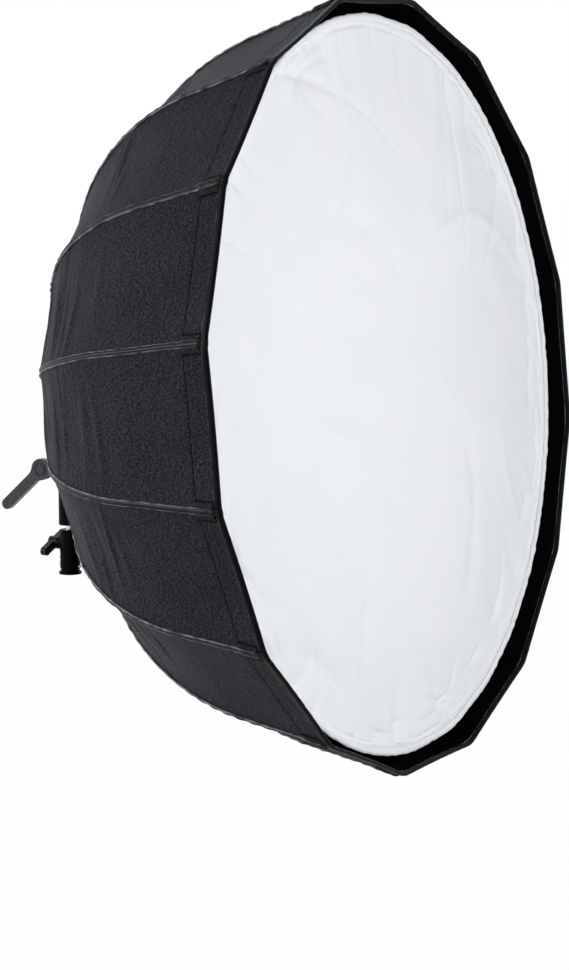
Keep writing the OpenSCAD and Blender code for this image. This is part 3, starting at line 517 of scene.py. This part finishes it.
def profile(s):
    """Radius, depth and slope of a rib at the length s from the rim."""
    s = np.asarray(s, float)
    a = np.clip(FRONT_ANGLE + (s - FRONT_LEN) / SHOULDER_R, FRONT_ANGLE, BACK_ANGLE)
    r = np.where(s < FRONT_LEN, RIM_R - s * math.sin(FRONT_ANGLE), ARC_C[0] + SHOULDER_R * np.cos(a))
    d = np.where(s < FRONT_LEN, s * math.cos(FRONT_ANGLE), ARC_C[1] + SHOULDER_R * np.sin(a))
    past = np.maximum(s - FRONT_LEN - ARC_LEN, 0)
    return r - past * math.sin(BACK_ANGLE), d + past * math.cos(BACK_ANGLE), a


def pull_in(u, s):
    """How far the taut cloth is drawn in between two ribs, most on the shoulder."""
    everywhere, more = 0.0012, 0.0022
    shoulder, reach = 0.25, 0.13
    return (1 - u * u) * (everywhere + more * bell((s - shoulder) / reach))


def shoulder_folds(rng, u, s):
    """Soft folds across a gore where it bends round the shoulder."""
    total = 0
    for _ in range(SHOULDER_FOLDS):
        at = rng.uniform(0.17, 0.44)
        tilt, bend = rng.normal(0, 0.006), rng.normal(0, 0.004)
        width = rng.uniform(0.0035, 0.008)
        deep = rng.uniform(0.0012, 0.0027) * rng.choice([1, 1, -1])
        middle, reach = rng.uniform(-0.5, 0.5), rng.uniform(0.35, 0.9)
        line = at + tilt * u + bend * u * u
        total = total + deep * bell((s - line) / width) * bell((u - middle) / reach)
    return total


def seam_puckers(rng, s, edge):
    """Small puckers along a seam, which fade with the distance edge from it."""
    height, pitch, reach = 0.00035, 0.013, 0.010
    phase = smooth_noise(rng, s, 3, 20, 60)
    return height * np.sin(2 * math.pi * s / pitch + 3 * phase) * np.exp(-edge / reach)


def stitch_line(rng, s, x, half_w):
    """The line sewn through the facing, sunk in the cloth, with puckers and short creases at it."""
    sunk, line_w = 0.0005, 0.0012
    height, pitch, reach = 0.00045, 0.014, 0.010
    off = s - FACING_DEPTH
    phase = smooth_noise(rng, x, 3, 40, 90)
    total = height * np.sin(2 * math.pi * x / pitch + 2 * phase) * bell(off / reach)
    total -= sunk * bell(off / line_w)
    for _ in range(STITCH_CREASES):
        middle, lean = rng.uniform(-0.85, 0.85) * half_w, rng.normal(0, 0.5)
        crease = (x - middle - lean * off) / rng.uniform(0.0018, 0.004)
        total += rng.uniform(-0.0009, 0.0009) * bell(crease) * bell(off / rng.uniform(0.012, 0.03))
    return total


def gore_wrinkles(gore, u, s, x):
    """All the folds of one gore, along its normal; they end at its two seams."""
    uneven, over_facing, deepest, seam_share = 0.0005, 0.06, -0.0007, 0.06
    rng = np.random.default_rng(700 + gore)
    total = uneven * smooth_noise(rng, s + 0.15 * x, 4, 25, 70) * (1 - u ** 4)
    total += shoulder_folds(rng, u, s)
    half_w = profile(s)[0] * math.sin(HALF)
    for side in (-1, 1):
        total += seam_puckers(rng, s, (1 - side * u) * half_w)
    total += stitch_line(rng, s, x, half_w)
    total = np.where(s < over_facing, np.maximum(total, deepest), total)
    return total * np.clip((1 - np.abs(u)) / seam_share, 0, 1)


def shell_point(gore, u, s, lift=0.0, wrinkled=True):
    """Points of the shell on one gore, and their places on the flat cloth.

    u goes from -1 to 1 between the gore's two ribs, and s is the length from the rim.
    """
    r, d, a = profile(s)
    x = u * r * math.sin(HALF)
    out = lift - pull_in(u, s)
    if wrinkled:
        out = out + gore_wrinkles(gore, u, s, x)
    radial = r * FLAT + out * np.cos(a)
    depth = d + out * np.sin(a)
    phi = gore * 2 * HALF
    c, t = math.cos(phi), math.sin(phi)
    return np.stack([radial * c - x * t, radial * t + x * c, depth], -1), np.stack([x, s + 0 * x], -1)


def gore_rows():
    """The lengths from the rim at which a gore has points, closest at the stitch line."""
    before, past = FACING_DEPTH - 0.004, FACING_DEPTH + 0.004
    return np.concatenate([
        np.linspace(0.0010, before, 12, endpoint=False),
        np.linspace(before, past, 14, endpoint=False),
        np.linspace(past, RIB_LEN, 190),
    ])


def build_gores():
    """The gores with their silver lining, each with its flat size and its area."""
    rows = gore_rows()
    spread = 0.92 * math.pi / 2
    across = GORE_SHARE * np.sin(np.linspace(-1, 1, 37) * spread) / math.sin(spread)
    s, u = np.meshgrid(rows, across, indexing="ij")
    faces = grid_faces(*s.shape)
    r, _, _ = profile(rows)
    area = float(np.trapz(2 * r * math.sin(HALF), rows))
    made = []
    for gore in range(SIDES):
        points, cut = shell_point(gore, u, s)
        obj = add_mesh(f"gore_{gore:02d}", points, faces, [BLACK, SILVER], cut)
        thicken(obj, CLOTH_T, inner_slot=1)
        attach(obj, "tilt_head")
        made.append((obj, (GORE_W, RIB_LEN), area))
    return made


# Over the ribs ---------------------------------------------------------------

def rib_frame(k):
    """Radial and tangential directions of rib k."""
    phi = HALF + k * 2 * HALF
    return np.array([math.cos(phi), math.sin(phi), 0]), np.array([-math.sin(phi), math.cos(phi), 0])


def over_rib(k, x, s, lift):
    """Points on the cloth that folds over rib k, x to the side of it and lift above it."""
    fold_r = 0.0012
    r, d, a = profile(s)
    radial, tangent = rib_frame(k)
    soft = np.sqrt(x * x + fold_r ** 2) - fold_r
    out = lift - soft * math.tan(HALF) * np.cos(a)
    points = (r + out * np.cos(a))[..., None] * radial + x[..., None] * tangent
    points[..., 2] = d + out * np.sin(a)
    return points


def build_sleeves():
    """The folded tape over each seam, with a rolled cord along both edges."""
    half_row = np.array([  # share of the half width, and lift in millimetres
        [0, 1.0], [0.2, 0.95], [0.4, 0.75], [0.52, 0.4], [0.6, 0.7],
        [0.68, 1.5], [0.78, 1.9], [0.88, 1.6], [0.96, 0.8], [1.0, 0.1],
    ])
    x_row = np.concatenate([-half_row[:0:-1, 0], half_row[:, 0]]) * SLEEVE_HALF_W
    lift_row = np.concatenate([half_row[:0:-1, 1], half_row[:, 1]]) * MM
    start, past_pocket, end = 0.0030, 0.046, RIB_LEN - 0.003
    pocket_lift, uneven = 0.0014, 0.0006
    s_row = np.concatenate([
        np.linspace(start, past_pocket, 60, endpoint=False),
        np.linspace(past_pocket, end, 300),
    ])
    # The tape climbs over the pocket, and at the rim it is narrower and pressed flat for the binding.
    over_pocket = smooth_step((FACING_DEPTH + 0.006 - s_row) / 0.008)[:, None]
    flattened = np.clip((s_row - 0.0045) / 0.005, 0.12, 1)[:, None]
    at_rim = np.clip((0.014 - s_row) / 0.009, 0, 1)[:, None]
    made = []
    for k in range(SIDES):
        rng = np.random.default_rng(40 + k)
        s, x = np.meshgrid(s_row, x_row, indexing="ij")
        ripple = smooth_noise(rng, s_row, 5, 150, 480)[:, None]
        lift = (lift_row * (1 + 0.28 * ripple) + pocket_lift * over_pocket) * flattened
        wander = uneven * smooth_noise(rng, s_row, 4, 25, 70)[:, None]
        side = x * (1 + 0.08 * ripple + 0.2 * over_pocket - 0.5 * at_rim) + wander
        points = over_rib(k, side, s, lift)
        obj = add_mesh(f"rib_sleeve_{k:02d}", points, grid_faces(*s.shape), TAPE, np.stack([x, s], -1))
        thicken(obj, SLEEVE_T)
        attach(obj, "tilt_head")
        made.append(obj)
    return made


def build_pockets():
    """The patch at each rib's front end that holds the rod's tip."""
    x_row = np.linspace(-1, 1, 45) * POCKET_W / 2
    s_row = np.linspace(BINDING_W + 0.0005, FACING_DEPTH + 0.0015, 30)
    made = []
    for k in range(SIDES):
        rng = np.random.default_rng(90 + k)
        s, x = np.meshgrid(s_row, x_row, indexing="ij")
        edge = np.minimum(POCKET_W / 2 - np.abs(x), np.minimum(s - s_row[0] + 0.001, s_row[-1] - s))
        rounded = 0.0005 + 0.0006 * (1 - np.exp(-edge / 0.0008))
        stitched = -0.0006 * bell((edge - 0.0016) / 0.0008)
        over_rod = 0.0009 * bell(x / 0.0035)
        wavy = np.sin(s / 0.0042 + 3 * smooth_noise(rng, x, 2, 60, 160)) * bell(x / 0.009)
        points = over_rib(k, x, s, rounded + stitched + over_rod + 0.00035 * wavy)
        obj = add_mesh(f"rod_pocket_{k:02d}", points, grid_faces(*s.shape), POCKET, np.stack([x, s], -1))
        thicken(obj, POCKET_T)
        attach(obj, "tilt_head")
        made.append(obj)
    return made


# Rim -------------------------------------------------------------------------

def around(s, lift, steps):
    """A band all round the shell, without its folds, through the section (s, lift)."""
    corner_drop, corner_share = 0.0016, 0.03
    across = np.linspace(-1, 1, steps, endpoint=False)
    u, s_grid = np.meshgrid(across, s, indexing="ij")
    rounded = corner_drop * np.exp(-(1 - np.abs(u)) / corner_share)
    lifted = lift[None, :] - rounded * math.cos(FRONT_ANGLE)
    points = np.concatenate([shell_point(g, u, s_grid, lifted, wrinkled=False)[0] for g in range(SIDES)])
    run = np.arange(SIDES * steps) / steps * GORE_W
    cut = np.stack(np.broadcast_arrays(run[:, None], s[None, :]), -1)
    return points, cut


def build_binding():
    """Tape folded over the rim's edge, and sewn through near its two edges."""
    section = np.array([  # length from the rim and lift, in millimetres, from the outside to the inside
        [6.6, 0.2], [6.5, 0.8], [5.6, 0.9], [5.0, 0.65], [4.6, 0.9], [3.8, 1.0],
        [2.2, 1.0], [0.6, 0.9], [-0.4, 0.3], [-0.8, -0.7], [-0.4, -1.7], [0.4, -2.2],
        [1.4, -2.4], [2.4, -2.5], [2.9, -2.3], [3.3, -2.4], [3.7, -2.3], [4.0, -1.6],
    ]) * MM
    ripple_h, ripple_step = 0.0001, 1.9
    points, cut = around(section[:, 0], section[:, 1], 30)
    rng = np.random.default_rng(12)
    n = len(points)
    step = np.arange(n)
    ripple = ripple_h * np.sin(step * ripple_step + 2 * smooth_noise(rng, step / n, 6, 60, 200))
    outward = points * (1, 1, 0)
    outward /= np.linalg.norm(outward, axis=-1, keepdims=True)
    points += outward * ripple[:, None, None]
    obj = add_mesh("rim_tape", points, grid_faces(n, len(section), close_rows=True), BINDING, cut)
    thicken(obj, BINDING_T, offset=1.0)
    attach(obj, "tilt_head")
    return obj


def facing_radius(theta, depth):
    """Radius of the facing inside the lip, which swells over each rod's tip."""
    gap, swell_h, swell_w, rise = 0.0031, 0.0052, 0.010, 0.009
    phi = from_middle(theta)
    wall = (RIM_R - depth * math.tan(FRONT_ANGLE)) * FLAT / np.cos(phi)
    swell = swell_h * bell((HALF - np.abs(phi)) * RIM_R / swell_w) * np.clip(depth / rise, 0, 1)
    drawn = pull_in(np.tan(phi) / math.tan(HALF), depth)
    return wall - gap - drawn - swell


def build_facing():
    """The black band inside the lip, from the binding to past the stitch line."""
    front, back, uneven = 0.0035, 0.044, 0.0004
    theta = all_round(1280) + HALF
    t, d = np.meshgrid(theta, np.linspace(front, back, 24), indexing="ij")
    rng = np.random.default_rng(21)
    ripple = uneven * smooth_noise(rng, t, 7, 20, 70) * np.clip((d - 0.004) / 0.01, 0, 1)
    r = facing_radius(t, d) + ripple
    points = np.stack([r * np.cos(t), r * np.sin(t), d], -1)
    cut = np.stack([t * RIM_R, d], -1)
    obj = add_mesh("lip_facing", points, grid_faces(*t.shape, close_rows=True), LIP, cut)
    thicken(obj, FACING_T, offset=0.0)
    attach(obj, "tilt_head")
    return obj


# Front diffuser --------------------------------------------------------------

def hem_radius(theta):
    """Radius of the front diffuser's hem, a little wavy where the elastic gathers it."""
    wavy = 0.0010
    rng = np.random.default_rng(5)
    return HEM_R + wavy * smooth_noise(rng, theta, 6, 9, 30)


def build_hook_tape():
    """The black tape behind the hem that holds the diffuser to the lip."""
    width, overlap, behind, slope = 0.012, 0.004, 0.003, 0.010
    theta = all_round(640)
    inner = hem_radius(theta) - overlap
    shares = np.linspace(0, 1, 9)
    rows = []
    for share in shares:
        depth = RECESS + behind + slope * share
        r = inner + (facing_radius(theta, depth) + FACING_T - inner) * share
        rows.append(np.stack([r * np.cos(theta), r * np.sin(theta), depth + 0 * r], -1))
    cut = np.stack(np.broadcast_arrays(theta[:, None] * HEM_R, shares[None, :] * width), -1)
    faces = grid_faces(len(theta), len(shares), close_rows=True)
    obj = add_mesh("hook_tape", np.stack(rows, 1), faces, LIP, cut)
    thicken(obj, HOOK_TAPE_T)
    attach(obj, "tilt_head")
    return obj


def radial_folds(rng, theta, near):
    """Folds that run in from the cloth's edge; near is the distance from it."""
    rise = 0.005
    total = 0
    for _ in range(RADIAL_FOLDS):
        at = rng.uniform(0, 2 * math.pi)
        width = rng.uniform(0.010, 0.045)
        reach = rng.uniform(0.015, 0.085)
        skew = rng.normal(0, 1.4)
        bend = rng.normal(0, 9)
        deep = rng.uniform(0.0018, 0.0062) * rng.choice([1, 1, -0.6])
        turn = wrapped(theta - at - skew * near - bend * near * near)
        total = total + deep * bell(turn / width) * np.exp(-near / reach) * (1 - np.exp(-near / rise))
    return total


def long_creases(rng, x, y):
    """Soft bent creases here and there over the cloth."""
    total = 0
    for _ in range(LONG_CREASES):
        heading = rng.uniform(0, 2 * math.pi)
        from_centre = rng.uniform(0.14, 0.37)
        at = rng.uniform(0, 2 * math.pi)
        dx, dy = x - from_centre * math.cos(at), y - from_centre * math.sin(at)
        along = dx * math.cos(heading) + dy * math.sin(heading)
        side = -dx * math.sin(heading) + dy * math.cos(heading)
        length, width = rng.uniform(0.05, 0.15), rng.uniform(0.008, 0.022)
        deep = rng.uniform(-0.0036, 0.0036)
        total = total + deep * bell(along / length) * bell((side - 3 * along ** 2) / width)
    return total


def hem_tucks(rng, theta, near):
    """Short folds along the cloth's edge, a little inside it."""
    total = 0
    for _ in range(HEM_TUCKS):
        at, length = rng.uniform(0, 2 * math.pi), rng.uniform(0.05, 0.16)
        turn = wrapped(theta - at)
        line = rng.uniform(0.011, 0.034) + rng.normal(0, 0.05) * turn + 0.5 * turn * turn
        deep = rng.uniform(0.0016, 0.0040)
        total = total + deep * bell((near - line) / rng.uniform(0.003, 0.006)) * bell(turn / length)
    return total


def hem_gathers(rng, theta, near):
    """Fine gathers at the elastic."""
    height, rise, reach = 0.0022, 0.003, 0.012
    fine = np.sin(HEM_GATHERS * theta + 5 * smooth_noise(rng, theta, 5, 5, 25))
    fine = fine * smooth_noise(rng, theta, 5, 12, 40)
    return height * fine * np.exp(-near / reach) * np.clip(near / rise, 0, 1)


def diffuser_depth(x, y, theta, near):
    """Form of the front diffuser, as a depth behind its plane; near is the distance from its edge."""
    hollow, uneven, groove = 0.0030, 0.0010, 0.0032
    rng = np.random.default_rng(31)
    total = hollow * bell((near - 0.045) / 0.04)
    total = total + radial_folds(rng, theta, near) + long_creases(rng, x, y) + hem_tucks(rng, theta, near)
    total += uneven * smooth_noise(rng, x + 0.3 * y, 4, 10, 40)
    total += uneven * smooth_noise(rng, y - 0.2 * x, 4, 10, 40)
    foremost = -0.0006 - 0.06 * near
    total = np.maximum(total * np.clip(near / 0.006, 0, 1), foremost)
    return total + hem_gathers(rng, theta, near) + groove * bell((near - 0.0045) / 0.003)


def build_diffuser():
    """The front diffuser, with its area and its width when flat."""
    theta = all_round(900)
    edge = hem_radius(theta) - DIFFUSER_EDGE
    shares = np.concatenate([
        np.linspace(0.002, 0.12, 8, endpoint=False),
        np.linspace(0.12, 0.94, 130, endpoint=False),
        np.linspace(0.94, 1, 26),
    ])
    share, t = np.meshgrid(shares, theta, indexing="ij")
    r = share * edge[None, :]
    x, y = r * np.cos(t), r * np.sin(t)
    near = np.maximum(edge[None, :] - r, 0)
    depth = RECESS + diffuser_depth(x, y, t, near)
    obj = add_disc("front_diffuser_cloth", x, y, depth, float(depth[0].mean()), WHITE)
    thicken(obj, DIFFUSER_T, offset=1.0)
    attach(obj, "tilt_head")
    return obj, float(math.pi * edge.mean() ** 2), 2 * float(edge.mean())


def build_hem():
    """The diffuser's rolled hem with its elastic."""
    inset, forward, uneven = 0.0024, 0.0008, 0.0002
    theta = all_round(840)[:, None]
    turns = all_round(16)[None, :]
    rng = np.random.default_rng(77)
    ripple = smooth_noise(rng, theta, 8, 60, 190)
    wide = HEM_HALF_W * (1 + 0.12 * ripple)
    tall = HEM_HALF_H * (1 + 0.35 * smooth_noise(rng, theta, 8, 80, 260))
    r = hem_radius(theta) - inset + wide * np.cos(turns)
    depth = RECESS - forward + uneven * ripple + tall * np.sin(turns)
    points = np.stack([r * np.cos(theta), r * np.sin(theta), depth], -1)
    cut = np.stack(np.broadcast_arrays(theta * HEM_R, turns * HEM_HALF_W), -1)
    obj = add_mesh("front_hem", points, grid_faces(*r.shape, True, True), WHITE, cut)
    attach(obj, "tilt_head")
    return obj


# Back and inside -------------------------------------------------------------

def build_cuff():
    """Gathered cuff between the gores' back ends and the ring."""
    gather_h, width, mean_r = 0.0011, 0.03, 0.09
    theta = all_round(900)
    edge_r = PANEL_END_R + 0.004
    edge_d = P2[1] + (P2[0] - edge_r) / math.tan(BACK_ANGLE)
    section = [  # radius, depth, share of the gathers, and how far it follows the sixteen sides
        (edge_r + 0.008, edge_d - 0.0030, 0.0, 1.0),
        (edge_r + 0.004, edge_d - 0.0006, 0.2, 1.0),
        (edge_r, edge_d + 0.0016, 0.5, 1.0),
        (0.094, RING_BACK - 0.0065, 1.0, 0.4),
        (0.088, RING_BACK - 0.0015, 1.0, 0.0),
        (0.0835, RING_BACK + 0.0012, 0.9, 0.0),
        (0.0795, RING_BACK + 0.0020, 0.7, 0.0),
        (0.0772, RING_BACK + 0.0021, 0.4, 0.0),
        (0.0762, RING_BACK + 0.0016, 0.2, 0.0),
    ]
    rng = np.random.default_rng(55)
    folds = gather_h * (smooth_noise(rng, theta, 10, 30, 70) + 0.6 * np.sin(48 * theta))
    inset = 0.9 * (1 - FLAT / np.cos(from_middle(theta)))
    rows = []
    for radius, depth, gather, follows in section:
        r = radius * (1 - follows * inset)
        rows.append(np.stack([r * np.cos(theta), r * np.sin(theta), depth + gather * folds], -1))
    along = np.linspace(0, width, len(section))
    cut = np.stack(np.broadcast_arrays(theta[:, None] * mean_r, along[None, :]), -1)
    faces = grid_faces(len(theta), len(section), close_rows=True)
    obj = add_mesh("ring_cuff", np.stack(rows, 1), faces, CUFF, cut)
    sub = obj.modifiers.new("soften", "SUBSURF")
    sub.levels = sub.render_levels = 1
    thicken(obj, CUFF_T)
    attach(obj, "tilt_head")
    return obj


def baffle_slack(theta):
    """How far the inner diffuser's edge falls back between two straps."""
    return BAFFLE_SLACK * (1 - np.abs(np.cos(STRAP_COUNT / 2 * (theta - HALF))))


def baffle_wave(theta):
    """Depth by which the inner diffuser's edge waves from strap to strap."""
    return BAFFLE_WAVE * np.cos(STRAP_COUNT * (theta - HALF))


def build_baffle():
    """The inner diffuser, a flat disc that the straps pull out at its edge."""
    uneven = 0.0009
    shares = np.concatenate([[0.004], np.linspace(0.04, 1, 46)])
    share, t = np.meshgrid(shares, all_round(300), indexing="ij")
    rng = np.random.default_rng(63)
    r = share * (BAFFLE_R - baffle_slack(t) * share ** 4)
    near = BAFFLE_R - r
    depth = BAFFLE_DEPTH + baffle_wave(t) * np.exp(-near / 0.06)
    depth += uneven * smooth_noise(rng, t, 6, 8, 30) * np.exp(-near / 0.05)
    obj = add_disc("inner_diffuser_cloth", r * np.cos(t), r * np.sin(t), depth, BAFFLE_DEPTH, INNER_WHITE)
    thicken(obj, BAFFLE_T, offset=0.0)
    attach(obj, "tilt_head")
    return obj


def build_baffle_hem():
    """The rolled edge of the inner diffuser."""
    past_edge = 0.0035
    theta = all_round(300)[:, None]
    turns = all_round(12)[None, :]
    r = BAFFLE_R + past_edge - baffle_slack(theta) + BAFFLE_HEM_HALF_W * np.cos(turns)
    depth = BAFFLE_DEPTH + baffle_wave(theta) + BAFFLE_HEM_HALF_H * np.sin(turns)
    points = np.stack([r * np.cos(theta), r * np.sin(theta), depth], -1)
    obj = add_mesh("inner_hem", points, grid_faces(*r.shape, True, True), INNER_WHITE)
    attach(obj, "tilt_head")
    return obj


gores = build_gores()
sleeves = build_sleeves()
pockets = build_pockets()
binding = build_binding()
facing = build_facing()
tape = build_hook_tape()
diffuser, diffuser_area, diffuser_width = build_diffuser()
hem = build_hem()
cuff = build_cuff()
baffle = build_baffle()
baffle_hem = build_baffle_hem()

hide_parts("front_panels", "shoulder_panels", "waist_panels", "back_panels")
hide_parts("seam_tapes")
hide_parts("rod_pockets")
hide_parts("rim_binding")
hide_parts("facing_band")
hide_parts("loop_tape")
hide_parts("front_diffuser")
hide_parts("diffuser_hem")
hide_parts("back_cuff")
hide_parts("inner_diffuser")
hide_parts("baffle_hem")

for number, (gore, size, area) in enumerate(gores):
    with_it = [sleeves[number], pockets[number]]
    if number == 0:
        with_it += [binding, facing, tape, cuff]


# Studio ----------------------------------------------------------------------

FLOOR_H = -1.3
FLOOR_HALF = 14
FLOOR_GLOW = 0.99
WORLD_COLOR = (0.86, 0.93, 1.0, 1)
WORLD_STRENGTH = 0.04
CAMERA_PLACE = (-2.849, -1.902, 0.620)
CAMERA_RIGHT = (0.4950, -0.8722, -0.0040)
CAMERA_FORWARD = (0.8580, 0.4841, -0.1483)
CAMERA_LENS = 107.63
SENSOR_W = 36

LAMPS = [  # name, place, what it points at, width, watts and colour
    ("key", (-0.12, -1.5, 0.42), (0, -0.45, 0.25), 0.8, 7.5, (1, 1, 1)),
    ("front", (-0.9, -2.6, 0.6), (0, -0.45, 0.25), 1.2, 20, (1, 1, 1)),
    ("high front", (0.3, -2.0, 2.2), (0, -0.4, 0.25), 1.2, 5.5, (1, 1, 1)),
    ("low front", (0.5, -2.2, -0.6), (0, -0.4, 0.25), 1.2, 4.5, (1, 1, 1)),
    ("top", (1.7, 0.6, 2.2), (0, -0.2, 0.25), 1.6, 15, (0.7, 0.86, 1)),
    ("back", (-1.8, 2.5, 0.9), (0, -0.2, 0.25), 1.4, 100, (0.94, 0.96, 1)),
]


def camera_ray(tree):
    """1 where the ray comes from the camera, or from a glossy or a see-through surface."""
    path = tree.nodes.new("ShaderNodeLightPath")
    total = path.outputs["Is Camera Ray"]
    for name in ("Is Glossy Ray", "Is Transmission Ray"):
        n = tree.nodes.new("ShaderNodeMath")
        n.operation = "MAXIMUM"
        tree.links.new(total, n.inputs[0])
        tree.links.new(path.outputs[name], n.inputs[1])
        total = n.outputs[0]
    return total


def build_world():
    """White where the camera sees it, also mirrored or through a surface, and else a dim cool light."""
    world = bpy.data.worlds.new("studio")
    bpy.context.scene.world = world
    world.use_nodes = True
    tree = world.node_tree
    plain = tree.nodes["Background"]
    plain.inputs["Color"].default_value = WORLD_COLOR
    plain.inputs["Strength"].default_value = WORLD_STRENGTH
    white = tree.nodes.new("ShaderNodeBackground")
    white.inputs["Color"].default_value = (1, 1, 1, 1)
    white.inputs["Strength"].default_value = 1.0
    mix = tree.nodes.new("ShaderNodeMixShader")
    tree.links.new(camera_ray(tree), mix.inputs["Fac"])
    tree.links.new(plain.outputs["Background"], mix.inputs[1])
    tree.links.new(white.outputs["Background"], mix.inputs[2])
    tree.links.new(mix.outputs["Shader"], tree.nodes["World Output"].inputs["Surface"])


def build_floor():
    """A wide floor that glows white where the camera sees it, and is pale to the lamps."""
    bm = bmesh.new()
    bmesh.ops.create_grid(bm, x_segments=24, y_segments=24, size=FLOOR_HALF)
    mesh = bpy.data.meshes.new("studio_floor")
    bm.to_mesh(mesh)
    bm.free()
    floor = bpy.data.objects.new("studio_floor", mesh)
    floor.location = (0, 0, FLOOR_H)
    bpy.context.scene.collection.objects.link(floor)
    s = Shader("pale floor", (0.7, 0.7, 0.7), 0.9)
    glow = s.node("ShaderNodeEmission")
    s.mix_surface(s.math("MULTIPLY", camera_ray(s.tree), FLOOR_GLOW), glow.outputs["Emission"])
    mesh.materials.append(s.material)


def area_light(name, place, target, width, power, color):
    """A square studio lamp that points at its target."""
    data = bpy.data.lights.new(name, "AREA")
    data.color = color
    data.shape = "RECTANGLE"
    data.size = data.size_y = width
    data.energy = power
    obj = bpy.data.objects.new(name, data)
    obj.location = place
    obj.rotation_mode = "QUATERNION"
    obj.rotation_quaternion = (Vector(target) - Vector(place)).to_track_quat("-Z", "Y")
    bpy.context.scene.collection.objects.link(obj)


def build_camera():
    """The photo's camera, as fitted to the rim's sixteen corners."""
    data = bpy.data.cameras.new("photo_camera")
    data.lens = CAMERA_LENS
    data.sensor_width = SENSOR_W
    data.sensor_fit = "AUTO"
    data.clip_start, data.clip_end = 0.05, 60
    cam = bpy.data.objects.new("photo_camera", data)
    right = Vector(CAMERA_RIGHT).normalized()
    forward = Vector(CAMERA_FORWARD).normalized()
    up = right.cross(forward).normalized()
    right = forward.cross(up).normalized()
    turn = Matrix((right, up, -forward)).transposed().to_4x4()
    cam.matrix_world = Matrix.Translation(CAMERA_PLACE) @ turn
    bpy.context.scene.collection.objects.link(cam)
    bpy.context.scene.camera = cam


build_world()
build_floor()
for lamp in LAMPS:
    area_light(*lamp)
build_camera()
bpy.context.scene.view_settings.view_transform = "Standard"
